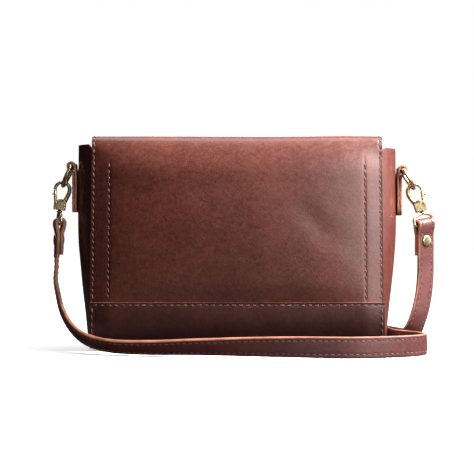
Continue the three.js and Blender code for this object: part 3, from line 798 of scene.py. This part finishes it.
def build_front():
    profile = [(half_depth(z), z) for z in np.linspace(FRONT_TOP, PANEL_FOOT, 30)]
    surface = Surface(profile, front_push)
    grid = surface.grid(across_piece(HALF_TOP, (EDGE_ROW,)), (FRONT_ROW,), 3.5)
    obj = solid_sheet("front_cover", grid, HIDE, [HULL, FLESH, DARK_EDGE])
    attach(obj, "oxblood_hide", "purse", "front_panel")
    covered = BAND_TOP + 1 - PANEL_FOOT  # the foot of the panel, behind the band
    lines = surface.side_rows(EDGE_ROW, FRONT_ROW, surface.length - covered, 60, SIDE_PITCH)
    thread_piece("front_cover", [surface.cross_row(FRONT_ROW)] + lines, "purse")


def pocket_push(x, y, z):
    """The slip pocket hangs a little slack from its side seams."""
    slack = 1.6 * np.clip(1 - (x / 110) ** 2, 0, 1) * smooth((z - POCKET_FOOT) / 90)
    return -slack - 0.2 + 0.2 * bumpy(x, z, 30, 31.7)


def full_width(z):
    return 1.0


def no_dip(x):
    return 0 * x


def build_pocket():
    profile = [(-half_depth(z) + LAP, z) for z in np.linspace(POCKET_FOOT, POCKET_TOP, 30)]
    surface = Surface(profile, pocket_push, full_width, no_dip)
    grid = surface.grid(across_piece(POCKET_HALF, (POCKET_HALF - 3,), 4.0), (), 4)
    obj = solid_sheet("inner_pocket", grid, POCKET_HIDE, [SIDE, SIDE, DARK_EDGE], 0.3)
    attach(obj, "suede", "purse", "slip_pocket")


def gusset_bow(z):
    """How far a gusset bows out: straight up from a narrow foot, then level."""
    foot, reach, knee = 4, 12.6, 105
    share = z / knee
    return foot + reach * share / (1 + share**8) ** 0.125


def gusset_row(z, top_lift):
    """Points round the right gusset at a height: back flange, bowed side, front flange.

    The side is drawn in along its middle towards the top.
    """
    root = half_width(z) - 1
    depth = half_depth(z) - LAP
    back = [(x, -depth + edge_dip(x), z) for x in np.linspace(root - 9, root - 1, 5)]
    across = np.linspace(-1, 1, 41)
    tuck = 0.5 * np.exp(-((across / 0.28) ** 2)) * smooth((z - 96) / 90)
    lift = top_lift * smooth((z - 140) / (BODY_TOP - 140))
    rise = lift * smooth((1 - np.abs(across)) / 0.15)
    out = root + gusset_bow(z) * (1 - across**2) - tuck
    bowed = np.stack([out, (depth - edge_dip(root)) * across, z + rise], -1)
    front = [(x, -y, z) for x, y, z in reversed(back)]
    return np.concatenate([back, bowed, front])


def build_gusset(name, side, top_lift):
    """A gusset. The middle of its top stands above its flanges by top_lift."""
    grid = np.array([gusset_row(z, top_lift) for z in np.linspace(4.2, BODY_TOP, 70)])
    if side < 0:
        grid = grid[:, ::-1] * (-1, 1, 1)
    grid[..., 0] += side * 0.3 * bumpy(grid[..., 1], grid[..., 2], 32, 41.0 + side)
    obj = solid_sheet(f"{name}_side_gusset", grid, SIDE_HIDE, [SIDE, FLESH, TAN_EDGE], 0.4)
    attach(obj, "gusset_hide", "purse", f"{name}_gusset")


# ---- Flap ----


def flap_profile():
    """Over the crest from its middle, round the front roll and down to the flap's edge."""
    centre_y, centre_z = FRONT_CENTRE
    flat = [(y, CREST) for y in np.linspace(0, centre_y - 1, 12)]
    drop = []
    for z in np.linspace(centre_z - 2, FLAP_EDGE, 50):
        share = (centre_z - z) / (centre_z - FLAP_EDGE)
        drop.append((centre_y + FRONT_ROLL + FLAP_FLARE * share, z))
    return flat + arc(FRONT_CENTRE, FRONT_ROLL, 90, 0, 24) + drop


def flap_push(x, y, z):
    hanging = smooth((FRONT_CENTRE[1] - z) / 20)
    waves = 0.4 * bumpy(x, z, 55, 51.3) + 0.12 * bumpy(x, z, 14, 57.1)
    puff = 1.0 * np.clip(1 - (x / HALF_TOP) ** 2, 0, 1) * hanging
    edge = valley(np.abs(x) - EDGE_ROW) * (z > FLAP_EDGE + FLAP_CORNER)
    return waves * (0.3 + 0.7 * hanging) + puff - edge


def flap_half(z):
    """The flap's half width at a height, narrowing round its lower corners."""
    below = np.clip(FLAP_EDGE + FLAP_CORNER - z, 0, FLAP_CORNER)
    return HALF_TOP - FLAP_CORNER + np.sqrt(FLAP_CORNER**2 - below**2)


FLAP = Surface(flap_profile(), flap_push, full_width, no_dip)


def flap_edge_row(inset, first):
    """The way round the flap's free edge, as x and s, at an inset from the cut edge."""
    half, corner = HALF_TOP - inset, FLAP_CORNER - inset
    end = FLAP.length - inset
    line = [(-half, s) for s in np.linspace(first, end - corner, 80)]
    line += arc((corner - half, end - corner), corner, 180, 90, 20)[1:]
    line += [(x, end) for x in np.linspace(-half + corner + 2, 0, 50)]
    mirrored = [(-x, s) for x, s in reversed(line[:-1])]
    return np.array(line + mirrored).T


def build_flap():
    ways = inside(0, FLAP.length, (FLAP.length - EDGE_INSET, FLAP.length - 0.4), 2.6)
    y, z = FLAP.base(ways).T
    past_roll = y > FRONT_CENTRE[0] + FRONT_ROLL - 0.5
    halves = np.where(past_roll, flap_half(z), HALF_TOP)
    grid_x = across_piece(HALF_TOP, (EDGE_ROW,)) * (halves / HALF_TOP)[:, None]
    grid = FLAP.point(grid_x, ways[:, None])
    obj = solid_sheet("flap_cover", grid, HIDE, [HULL, FLESH, DARK_EDGE], seam="first")
    attach(obj, "oxblood_hide", bend_over_front, "flap_crown", "flap_drop")
    row = FLAP.row(*flap_edge_row(EDGE_INSET, 3), SIDE_PITCH)
    thread_piece("flap_cover", [row], bend_over_front)


def build_facing():
    """Thin backing of the hanging part, stopping short of the roll."""
    ways = np.linspace(FLAP.way_at(FRONT_CENTRE[1] - 4), FLAP.length - 1.0, 50)[:, None]
    halves = flap_half(FLAP.base(ways)[..., 1]) - 1.0
    grid_x = np.linspace(-1, 1, 70) * halves
    grid = FLAP.point(grid_x, ways) - FLAP.normal(grid_x, ways) * (HIDE + 0.25)
    obj = solid_sheet("flap_backing", grid, FACING, [FLESH, FLESH, DARK_EDGE], 0.3)
    attach(obj, "suede", "flap_drop", "flap_facing")


# ---- Magnetic snap ----


def brass_piece(name, shape, place, body, *nodes):
    obj = make_mesh(name, *placed(shape, place), [BRASS])
    attach(obj, "brass", body, *nodes)
    return obj


def build_snap():
    """Both halves of the snap, each in its CAD node's place, with its axis from back to front."""
    to_front = Matrix.Rotation(-math.pi / 2, 4, "X")
    low, high = [np.array(corner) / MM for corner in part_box("snap_socket")]
    socket = turned([
        (0, 0), (8.4, 0), (8.9, 0.4), (9, 1), (9, 2.4), (8.7, 3.1), (8.1, 3.4), (5, 3.4),
        (4.6, 3.2), (4.4, 1.7), (0, 1.6),
    ])
    place = Matrix.Translation(((low[0] + high[0]) / 2, low[1], (low[2] + high[2]) / 2))
    brass_piece("snap_cup", socket, place @ to_front, "purse", "snap_socket")

    low, high = [np.array(corner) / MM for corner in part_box("snap_stud")]
    stud = turned([
        (0, -2.4), (2.2, -2.4), (2.6, -2.2), (2.9, -1.5), (8.2, -1.4), (8.8, -1.1), (9, -0.6),
        (9, -0.1), (8.7, 0), (0, 0),
    ])
    lean = Matrix.Rotation(math.atan2(FLAP_FLARE, FRONT_CENTRE[1] - FLAP_EDGE), 4, "X")
    place = Matrix.Translation(((low[0] + high[0]) / 2, high[1] - 0.62, (low[2] + high[2]) / 2))
    brass_piece("snap_plug", stud, place @ lean @ to_front, "flap_drop", "snap_stud")


# ---- Side hardware ----

# For each side: its sign in x, turn about Z, foot of its ring tab, rise of its gusset's top, and in
# degrees the leans of the swivel eye and strap fold, the eye's yaw and the slope of the folded strap.
SIDES = {
    "left": {
        "sign": -1, "turn": 180, "tab_foot": 129.5, "top_lift": 6.5,
        "eye_lean": -1, "strap_lean": 2, "yaw": 15, "fold_slope": 0,
    },
    "right": {
        "sign": 1, "turn": 0, "tab_foot": 126.5, "top_lift": 3.0,
        "eye_lean": 11, "strap_lean": 0, "yaw": -57, "fold_slope": 8.2,
    },
}


def joint_point(name):
    return Vector(joints[name]["pos_m"]) / MM


def turned_place(name, point, lean):
    """A place on one side of the purse, leaning out from it by an angle in radians."""
    turn = Matrix.Rotation(math.radians(SIDES[name]["turn"]), 4, "Z")
    return Matrix.Translation(point) @ turn @ Matrix.Rotation(-lean, 4, "Y")


def ring_matrix(name):
    """Ring coordinates: bar along Y through the origin, bow hanging along -Z."""
    pivot = joint_point(f"{name}_ring_swing")
    bow = joint_point(f"{name}_clasp_hang")
    return turned_place(name, pivot, math.atan2(abs(bow.x) - abs(pivot.x), pivot.z - bow.z))


def clasp_matrix(name):
    """Clasp coordinates: top of the hook's wire at the origin, long axis along -Z."""
    axis = Vector(joints[f"{name}_hook_spin"]["axis"])
    return turned_place(name, joint_point(f"{name}_hook_spin"), math.atan2(abs(axis.x), -axis.z))


def eye_matrix(name):
    """Swivel eye coordinates: middle of the bar at the origin, arch and post above it."""
    side = SIDES[name]
    collar_foot = clasp_matrix(name) @ Vector((0, 0, -COLLAR_FOOT))
    yaw = Matrix.Rotation(math.radians(side["yaw"]), 4, "Z")
    drop = Matrix.Translation((0, 0, COLLAR_FOOT - EYE_DROP))
    return turned_place(name, collar_foot, math.radians(side["eye_lean"])) @ drop @ yaw


def fold_matrix(name):
    """Strap-end coordinates: middle of the eye's bar at the origin, main leg on the +X side."""
    side = SIDES[name]
    turn = Euler((0, -math.radians(side["strap_lean"]), math.radians(side["yaw"]))).to_matrix()
    return turned_place(name, eye_matrix(name).translation, 0) @ turn.to_4x4()


def spline(points, per_span):
    """A centripetal Catmull-Rom curve through the points."""
    p = np.asarray(points, float)
    p = np.concatenate([[2 * p[0] - p[1]], p, [2 * p[-1] - p[-2]]])
    made = []

    def between(a, b, start, end, t):
        return ((end - t) * a + (t - start) * b) / (end - start)

    for i in range(1, len(p) - 2):
        a, b, c, d = p[i - 1 : i + 3]
        gaps = [max(np.linalg.norm(gap), 1e-6) ** 0.5 for gap in (b - a, c - b, d - c)]
        t0, t1, t2, t3 = np.concatenate([[0], np.cumsum(gaps)])
        for t in np.linspace(t1, t2, per_span, endpoint=False):
            ab, bc, cd = between(a, b, t0, t1, t), between(b, c, t1, t2, t), between(c, d, t2, t3, t)
            abc, bcd = between(ab, bc, t0, t2, t), between(bc, cd, t1, t3, t)
            made.append(between(abc, bcd, t1, t2, t))
    made.append(p[-2])
    return np.array(made)


def flat_spline(control, per_span):
    """A curve in the plane of X and Z."""
    return spline([(x, 0.0, z) for x, z in control], per_span)


def build_ring(name):
    """A D in Y and Z: a straight bar at z = 0 and a round bow that hangs from it."""
    half, straight_side, corner = 11.25, 9.25, 2.2
    inner = half - corner
    line = [(y, 0.0) for y in np.linspace(-inner, inner, 14)]
    line += arc((inner, -corner), corner, 90, 0, 7)[1:]
    line += [(half, z) for z in np.linspace(-corner, -straight_side, 6)[1:]]
    line += arc((0, -straight_side), half, 0, -180, 40)[1:]
    line += [(-half, z) for z in np.linspace(-straight_side, -corner, 6)[1:]]
    line += arc((-inner, -corner), corner, 180, 90, 7)[1:-1]
    bar = tube([(0.0, y, z) for y, z in line], RING_WIRE, (1, 0, 0), closed=True, sides=24)
    brass_piece(f"{name}_dee", bar, ring_matrix(name), f"{name}_ring", f"{name}_d_ring")


def hook_wire():
    """The egg-shaped loop of the hook: from the collar's inner side, over the top, to its tip."""
    control = [(-3.4, -19.5), (-3.9, -17.6), (-5.6, -13.2), (-6.7, -9.0)]
    control += arc((0, -6.8), 6.8, 176, 4, 15)
    path = flat_spline(control + [(6.8, -8.0)], 6)
    radii = np.interp(np.linspace(0, 1, len(path)), [0, 0.2, 0.5, 0.9, 1], [2.3, 1.9, 1.7, 1.6, 1.5])
    return tube(path, radii, (0, 1, 0), sides=22)


def build_hook(name):
    place, body = clasp_matrix(name), f"{name}_clasp"
    brass_piece(f"{name}_hook_loop", hook_wire(), place, body)
    block = box_shape((-5.4, -3.5, -26.7), (5.7, 3.5, -17.2))
    shoulder = box_shape((-4.9, -3.1, -17.6), (2.2, 3.1, -15.9))
    collar = merged(block, shoulder)
    round_edges(brass_piece(f"{name}_hook_collar", collar, place, body, f"{name}_hook"), 0.9, 4)
    head = turned([(0, 0), (1.3, 0), (1.3, 0.25), (1.0, 0.5), (0, 0.6)], 24)
    pin_ends = []
    for side in (-1, 1):
        flip = Matrix.Rotation(-side * math.pi / 2, 4, "X")
        pin_ends.append(placed(head, Matrix.Translation((4.3, side * 3.5, GATE_HEIGHT)) @ flip))
    brass_piece(f"{name}_pin_heads", merged(*pin_ends), place, body)


def build_gate(name):
    """The spring gate with its thumb knob."""
    lever = [(0.0, 0.0, z) for z in np.linspace(-1.2, 11.7, 14)]
    radii = np.interp(np.linspace(0, 1, 14), [0, 0.1, 0.5, 0.95, 1], [0.8, 1.6, 1.55, 1.5, 1.3])
    bar = tube(lever, radii, (0, 1, 0), sides=18)
    knob = turned([(0, 0), (0.7, 0), (0.7, 1.3), (1.0, 1.6), (1.05, 2.0), (0.8, 2.4), (0, 2.5)], 22)
    stub = Matrix.Translation((0.5, 0, 8.2)) @ Matrix.Rotation(math.pi / 2, 4, "Y")
    lean = Matrix.Rotation(math.radians(10.3), 4, "Y")
    place = clasp_matrix(name) @ Matrix.Translation((4.6, 0, GATE_HEIGHT)) @ lean
    shape = merged(bar, placed(knob, stub))
    brass_piece(f"{name}_spring_gate", shape, place, f"{name}_gate_lever", f"{name}_gate")


def build_eye(name):
    """The swivel eye: a bar for the strap, an arch over it and a post into the collar."""
    half, corner, shoulder, height = 11.3, 2.0, 5.4, 11.0
    inner = half - corner
    line = [(y, 0.0) for y in np.linspace(inner, -inner, 14)]
    line += arc((-inner, corner), corner, 270, 180, 7)[1:]
    for c, s in arc((0, 0), 1, 180, 0, 36):
        line.append((half * c, shoulder + (height - shoulder) * s))
    line += arc((inner, corner), corner, 0, -90, 7)[:-1]
    ring = tube([(0.0, y, z) for y, z in line], EYE_WIRE, (1, 0, 0), closed=True, sides=22)
    seat = EYE_DROP - COLLAR_FOOT
    post = turned([
        (0, height - 0.8), (1.9, height - 0.4), (2.4, height + 0.3), (2.7, seat - 1.3),
        (2.7, seat - 0.9), (2.4, seat - 0.6), (1.5, seat - 0.6), (1.5, seat + 3.2), (0, seat + 3.2),
    ], 28)
    shape = merged(ring, post)
    brass_piece(f"{name}_eye_loop", shape, eye_matrix(name), f"{name}_eye", f"{name}_swivel_eye")


def build_stud(name):
    """The screw stud: a domed cap on the outer face and a low screw head on the tail."""
    outwards = Matrix.Translation((0, 0, STUD_DROP)) @ Matrix.Rotation(math.pi / 2, 4, "Y")
    place, body = fold_matrix(name) @ outwards, f"{name}_strap_fold"
    face = STRAP_THICK + 0.1
    cap = turned([
        (0, -3.0), (2, -3.0), (2, face), (4.8, face), (5.2, face + 0.3), (5.2, face + 0.8),
        (4.8, face + 1.25), (4.2, face + 1.4), (2.4, face + 1.55), (0, face + 1.6),
    ])
    screw = turned([
        (0, -face - 1.3), (3.4, -face - 1.2), (4.4, -face - 0.8), (4.7, -face - 0.4), (4.6, -face),
        (1.6, -face), (0, -face),
    ])
    brass_piece(f"{name}_stud_head", cap, place, body, f"{name}_stud_cap")
    brass_piece(f"{name}_stud_back", screw, place, body, f"{name}_stud_screw")


# ---- Ribbons: straps and tabs with a rounded section ----


def ribbon_section(width, thick, stitch_at=None):
    """A strap's cross-section as (across, out, material): crowned faces, bulging two-ply edges."""
    half, deep = width / 2, thick / 2
    face = [-half + min(0.8, deep * 0.6), -half + 1.6]
    if stitch_at:
        face += [d - stitch_at for d in (-0.9, -0.4, 0, 0.4, 0.9)]
    face += [-half * 0.35, 0.0]
    face += [-u for u in reversed(face[:-1])]

    def height(u):
        drawn = valley(abs(u) - stitch_at, 0.16, 0.6) if stitch_at else 0
        return deep - drawn - 0.10 * (abs(u) / half) ** 4

    top = [(u, height(u), 0) for u in face]
    bottom = [(u, -height(u), 2) for u in reversed(face)]
    for line in (top, bottom):
        line[-1] = (*line[-1][:2], 1)
    right = [(half - 0.25, deep * 0.66, 1), (half, deep * 0.35, 1), (half - 0.22, 0.0, 1)]
    right += [(half, -deep * 0.35, 1), (half - 0.25, -deep * 0.66, 1)]
    return top + right + bottom + [(-u, -v, m) for u, v, m in right]


def ribbon(name, centres, widths, section, materials, scale=1.0):
    """A closed strap along a path. widths are the directions across it; its face is across x along."""
    along = unit(np.gradient(centres, axis=0))
    widths = unit(widths - along * np.sum(widths * along, axis=1, keepdims=True))
    outs = unit(np.cross(widths, along))
    levels, count = len(centres), len(section)
    scaled = widths * np.broadcast_to(scale, levels)[:, None]
    verts = np.stack([centres + scaled * u + outs * v for u, v, _ in section], 1).reshape(-1, 3)
    last = (levels - 1) * count
    faces = skin(levels, count)
    faces += [tuple(reversed(range(count))), tuple(range(last, last + count))]
    indices = [material for _, _, material in section] * (levels - 1) + [1, 1]
    obj = make_mesh(name, verts, faces, materials, indices)
    mark_sharp_ends(obj, count)
    return obj, (centres, widths, outs)


def mark_sharp_ends(obj, count):
    """Keeps the cut ends of a ribbon crisp while its faces shade smoothly."""
    for face in list(obj.data.polygons)[-2:]:
        face.use_smooth = False
    last = len(obj.data.vertices) - count
    flags = []
    for edge in obj.data.edges:
        flags.append(max(edge.vertices) < count or min(edge.vertices) >= last)
    set_edges(obj, "sharp_edge", "BOOLEAN", flags)


def build_tab(name):
    """A strip folded over the ring's bar, both ends lying on the gusset under a box of stitches."""
    pivot = joint_point(f"{name}_ring_swing")
    loop = RING_WIRE + 0.35 + TAB_THICK / 2
    inner, outer = TAB_FACE + TAB_THICK / 2 + 0.05, TAB_FACE + 1.5 * TAB_THICK
    foot, high, middle = SIDES[name]["tab_foot"], pivot.z, abs(pivot.x)
    control = [(inner, foot), (inner, foot + 14), (inner, high - 16), (inner - 0.1, high - 7)]
    control += [(middle - loop, high - 1)] + arc((middle, high), loop, 165, -60, 9)
    control += [(outer + 0.5, high - 7), (outer, high - 14), (outer, foot + 14), (outer, foot)]
    path = flat_spline(control, 7)
    above = path[:, 2] - foot
    taper = np.interp(above, [0, 0.8, 2.5, 5, 300], [0.74, 0.86, 0.96, 1.0, 1.0])
    turn = np.array(turned_place(name, (0, 0, 0), 0))[:3, :3]
    across = np.tile(turn @ (0.0, 1.0, 0.0), (len(path), 1))
    section = ribbon_section(TAB_WIDTH, TAB_THICK)
    materials = [SIDE, TAN_EDGE, SIDE]
    obj, _ = ribbon(f"{name}_ring_loop", path @ turn.T, across, section, materials, taper)
    attach(obj, "gusset_hide", "purse", f"{name}_ring_tab")
    thread_piece(f"{name}_ring_loop", [tab_stitches(foot + 4, outer, turn)], "purse")


def tab_stitches(foot, outer, turn):
    """A U of stitches on the tab's outer face."""
    face = outer + TAB_THICK / 2 - 0.12
    half, head = TAB_WIDTH / 2 - 3, foot + 26
    line = [(face, -half, z) for z in np.linspace(head, foot + 2, 20)]
    line += [(face, y, foot) for y in np.linspace(-half + 2, half - 2, 16)]
    line += [(face, half, z) for z in np.linspace(foot + 2, head, 20)]
    out = np.tile(turn @ (1.0, 0, 0), (len(line), 1))
    return stitched_row(np.array(line) @ turn.T, out, TAB_PITCH, 0.66, 0.36)


# ---- Strap ----

PER_SPAN = 12  # points of the strap's run between two stations
FRONT_CUT, SIDE_CUT = 10 * PER_SPAN, 31 * PER_SPAN  # on the floor in front, and by the right gusset
LEFT_BEND, RIGHT_BEND = 80, SIDE_CUT + 4  # points of the run handed to the folded ends' rides, which don't use them


def strap_stations():
    """The lie of the strap from the left fold to the right fold: place and direction across it."""
    floor = STRAP_WIDTH / 2 + 0.05
    lying = [
        (-171.8, -2.5, 66, 0.18, -1, 0.05), (-169.5, -8, 55, 0.2, -1, 0.1),
        (-163.5, -19, 37, 0.26, -1, 0.25), (-152, -36, 21.5, 0.15, -0.95, 0.35),
        (-136, -56, 12.5, 0.1, -0.88, 0.5), (-115, -71, 8.2, 0, -0.8, 0.6),
        (-80, -84, 7.6, 0, -0.76, 0.64), (-40, -95, 9, 0, -0.67, 0.75),
        (0, -100, 9.6, 0, -0.5, 0.86), (50, -107, 9.9, 0, -0.2, 0.98),
    ]
    standing = [
        (100, -110), (138, -99), (160, -84), (170, -66), (168.5, -49), (161, -32), (150.5, -12),
        (146.8, 8), (145, 28), (142.5, 43), (132, 54), (100, 59), (30, 60), (-40, 62), (-66, 70),
        (-70, 82), (-50, 93), (0, 97), (70, 92), (120, 76), (145, 57), (152, 38), (157, 19),
    ]
    rising = [
        (161.0, 4, 10.2, -0.2, -0.05, 0.97), (163.6, -3, 13, -0.6, -0.3, 0.74),
        (167.5, -7.5, 21, -0.84, -0.42, 0.34), (172.0, -8, 33.5, -0.87, -0.46, 0.1),
        (176.0, -5.2, 49, -0.85, -0.52, 0), (178.2, -2.6, 66, -0.84, -0.54, 0),
    ]
    return np.array(lying + [(x, y, floor, 0, 0, 1) for x, y in standing] + rising)


def strap_fold(name):
    """A folded end, from its tail's end to the foot of its main leg, and the direction across it."""
    loop = STRAP_THICK / 2 + 2.0
    leg = STRAP_THICK / 2 + 0.05
    control = [(-leg, -29), (-leg, -20), (-leg, -9), (-leg - 0.9, -5.2), (-loop, -0.4)]
    control += arc((0, 0.9), loop, 165, 15, 7)
    control += [(loop, -0.4), (leg + 0.9, -5.2), (leg, -9), (leg, -20), (leg, -33)]
    place = fold_matrix(name)
    across = np.array(place)[:3, 1]
    return moved(flat_spline(control, 6), place), across


def strap_run(left_foot, right_foot):
    """The strap's middle line between the feet of its folded ends, and its directions across."""
    stations = strap_stations()
    hang = np.array([0, 0, 7.0])
    line = [left_foot, left_foot - hang, *stations[:, :3], right_foot - hang, right_foot]
    first, last = (0.17, -1.0, 0), (-0.84, -0.54, 0)
    widths = np.array([first, first, *stations[:, 3:], last, last])
    run = spline(line, PER_SPAN)
    share = np.arange(len(run)) / PER_SPAN
    across = np.stack([np.interp(share, np.arange(len(widths)), widths[:, k]) for k in range(3)], -1)
    return run, unit(smoothed(across, 9))


def smoothed(values, reach):
    padded = np.concatenate([np.repeat(values[:1], reach, 0), values, np.repeat(values[-1:], reach, 0)])
    return np.stack([padded[i : i + len(values)] for i in range(2 * reach + 1)]).mean(0)


def sloped(verts):
    """Tilts the right fold along its bar, while its legs still hang straight. In purse axes."""
    slope = math.tan(math.radians(SIDES["right"]["fold_slope"]))
    m = np.array(fold_matrix("right"))
    local = (verts - m[:3, 3]) @ m[:3, :3]
    near = local[:, 2] > -26
    x, y, z = local[near].T
    z = z + y * slope * smooth((z + 26) / 16)
    y = y - np.maximum(z, 0) * slope
    local[near] = np.stack([x, y, z], -1)
    return moved(local, m)


def strap_rows(path, first, last):
    """Two stitch rows on both faces of a strap, between two points of its path."""
    centres, widths, outs = [part[first:last] for part in path]
    rows = []
    for face in (1, -1):
        for side in (-1, 1):
            line = centres + widths * side * STRAP_ROW + outs * face * (STRAP_THICK / 2 - 0.1)
            rows.append(stitched_row(line, outs * face, STRAP_PITCH, 0.66, 0.36, 5.0 * face * side))
    return rows


def strap_lengths(run, across, left, left_across, right, right_across):
    """The strap cut in three, each length as its middle line and its directions across."""
    left_across = left_across * np.sign(left_across @ across[0])
    right_across = right_across * np.sign(right_across @ across[-1])
    left_wide = np.tile(left_across, (len(left) - 1, 1))
    right_wide = np.tile(right_across, (len(right), 1))
    front, middle, side = slice(0, FRONT_CUT + 1), slice(FRONT_CUT, SIDE_CUT + 1), slice(SIDE_CUT, -1)
    return {
        "left": (np.concatenate([left[:-1], run[front]]), np.concatenate([left_wide, across[front]])),
        "middle": (run[middle], across[middle]),
        "right": (np.concatenate([run[side], right[::-1]]), np.concatenate([across[side], right_wide])),
    }


def bend_with_fold(start, end):
    """A ride for a piece from the purse to a folded strap end: it bakes the piece's transform and does
    not bend it. Its two points in mm, start and end, are not used.
    """
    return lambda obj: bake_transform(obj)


def build_strap():
    left, left_across = strap_fold("left")
    right, right_across = strap_fold("right")
    run, across = strap_run(left[-1], right[-1])
    lengths = strap_lengths(run, across, left, left_across, right, right_across)
    rides = {
        "left": bend_with_fold(run[LEFT_BEND], left[-1]),
        "right": bend_with_fold(run[RIGHT_BEND], right[-1]),
        "middle": "purse",
    }
    nodes = {"left": "left_strap_end", "right": "right_strap_end", "middle": "strap_run"}
    unsewn = {"left": (3, 0), "right": (0, 3), "middle": (0, 0)}  # points at the tails' ends
    section = ribbon_section(STRAP_WIDTH, STRAP_THICK, STRAP_ROW)
    for name, (centres, widths) in lengths.items():
        obj, path = ribbon(f"{name}_strap", centres, widths, section, [STRAP, TAN_EDGE, STRAP])
        first, last = unsewn[name]
        rows = strap_rows(path, first, len(centres) - last)
        if name == "right":
            tilt(obj)
            rows = [tuple((sloped(verts), faces) for verts, faces in row) for row in rows]
        attach(obj, "strap_hide", rides[name], nodes[name])
        thread_piece(f"{name}_strap", rows, rides[name])


def tilt(obj):
    verts = np.array([vertex.co for vertex in obj.data.vertices]) / MM
    obj.data.vertices.foreach_set("co", (sloped(verts) * MM).ravel())
    obj.data.update()


# ---- Scene ----

FLOOR_GLOW = 0.5
WORLD_RIGHT, WORLD_TOP, WORLD_BASE = 0.3, 0.2, 0.004


def paint_cad_nodes():
    """Gives every CAD node that stays visible a finished material."""
    finishes = {"brass": BRASS, "steel": STEEL, "stiffener": BOARD, "suede": FLESH}
    slots = {part["node"]: part["material_slot"] for part in frame["record"]["subparts"]}
    for name, node in frame["nodes"].items():
        for slot in node.material_slots:
            slot.link = "OBJECT"
            slot.material = finishes.get(slots[name], HULL)


def build_floor():
    """Pale paper. The camera sees it glow, more so far away, so that it runs into the background."""
    look = Look("studio_floor")
    far = look.add("VectorMath", look.place, settings={"operation": "LENGTH"})
    strength = look.spread(far.outputs["Value"], FLOOR_GLOW, 1.05, 0.25, 0.9)
    glow = look.add("Emission", Color=grey(1), Strength=strength)
    lit = look.add("BsdfDiffuse", Color=grey(0.9))
    seen = look.add("AddShader", lit.outputs[0], glow.outputs[0])
    look.show(look.for_camera(seen, look.add("BsdfDiffuse", Color=grey(0.04))))
    corners = [(x * 9000, y * 9000, -0.1) for x, y in ((-1, -1), (1, -1), (1, 1), (-1, 1))]
    make_mesh("studio_floor", corners, [(0, 1, 2, 3)], [look.owner])


def build_world():
    """White to the camera; to everything else a soft gradient that is bright on the right and above."""
    world = bpy.data.worlds.new("studio")
    bpy.context.scene.world = world
    look = Look(world, "Generated")
    split = look.add("SeparateXYZ", look.place).outputs
    right = look.spread(split["X"], WORLD_BASE, WORLD_RIGHT, -0.1, 0.95, "SMOOTHSTEP")
    above = look.spread(split["Z"], 0.0, WORLD_TOP, 0.2, 0.95, "SMOOTHSTEP")
    soft = look.add("Background", Strength=look.maths("ADD", right, above))
    white = look.add("Background", Strength=1.0, Color=grey(1))
    look.show(look.for_camera(white, soft), "World")


def area_light(name, place, size, power, glossy_only=False, only=None):
    """A softbox aimed at the middle of the purse. glossy_only ones make sheen but no shading.

    only is a collection of pieces: the light then reaches nothing else.
    """
    data = bpy.data.lights.new(name, "AREA")
    data.shape = "RECTANGLE"
    data.size, data.size_y = size
    data.energy = power
    obj = bpy.data.objects.new(name, data)
    bpy.context.scene.collection.objects.link(obj)
    obj.location = place
    obj.rotation_mode = "QUATERNION"
    obj.rotation_quaternion = (Vector((0, 0, 0.11)) - Vector(place)).to_track_quat("-Z", "Y")
    obj.visible_camera = False
    obj.visible_diffuse = not glossy_only
    if only:
        obj.light_linking.receiver_collection = only


def pieces_named(name, *words):
    """A collection of the pieces whose names hold any of these words."""
    made = bpy.data.collections.new(name)
    for obj in bpy.data.objects:
        if obj.type == "MESH" and any(word in obj.name for word in words):
            made.objects.link(obj)
    return made


def around(azimuth, elevation, distance):
    """A place seen from the middle of the purse; azimuth 0 is the camera's side, 90 is +X."""
    a, e = math.radians(azimuth), math.radians(elevation)
    flat = distance * math.cos(e)
    return (flat * math.sin(a), -flat * math.cos(a), 0.1 + distance * math.sin(e))


def build_lights():
    """A grazing key from the upper right, softboxes for sheen and brass, and a light over the roll."""
    brass_pieces = pieces_named("brass_pieces", "_dee", "_hook_", "_pin_", "_gate", "_eye_loop")
    straps = pieces_named("strap_pieces", "_strap", "left_ring_loop")
    area_light("side_key", around(74, 42, 0.8), (0.35, 0.35), 29)
    area_light("front_softbox", around(25, 17, 1.1), (0.24, 0.7), 1.1)
    area_light("sheen_softbox", around(39, 16, 1.1), (0.24, 0.7), 5, glossy_only=True)
    area_light("rim_softbox", around(88, 14, 1.0), (0.2, 0.6), 1.1, glossy_only=True)
    area_light("brass_softbox", around(66, 5, 1.0), (0.5, 0.5), 1.3, True, only=brass_pieces)
    area_light("brass_glow", around(-2, 9, 1.5), (0.35, 0.6), 1.0, True, only=brass_pieces)
    area_light("strap_fill", (-0.15, -0.62, 0.14), (0.3, 0.3), 1.5, only=straps)
    area_light("overhead", (0.0, 0.03, 1.0), (0.9, 0.4), 4.2)
    area_light("flap_side_fill", around(192, 28, 1.2), (0.8, 0.6), 5)


def build_camera():
    """Level with the middle of the purse, straight in front of its back."""
    data = bpy.data.cameras.new("camera")
    data.sensor_width = 36.0
    data.lens = 107.3
    obj = bpy.data.objects.new("camera", data)
    bpy.context.scene.collection.objects.link(obj)
    obj.location = (0, -1.341, 0.106)
    obj.rotation_euler = (math.pi / 2, 0, 0)
    bpy.context.scene.camera = obj


paint_cad_nodes()
build_back()
build_band()
build_front()
build_pocket()
build_flap()
build_facing()
build_snap()
for side_name, side_facts in SIDES.items():
    build_gusset(side_name, side_facts["sign"], side_facts["top_lift"])
    build_tab(side_name)
    build_ring(side_name)
    build_hook(side_name)
    build_gate(side_name)
    build_eye(side_name)
    build_stud(side_name)
build_strap()
build_floor()
build_world()
build_lights()
build_camera()

bpy.context.scene.view_settings.view_transform = "Standard"
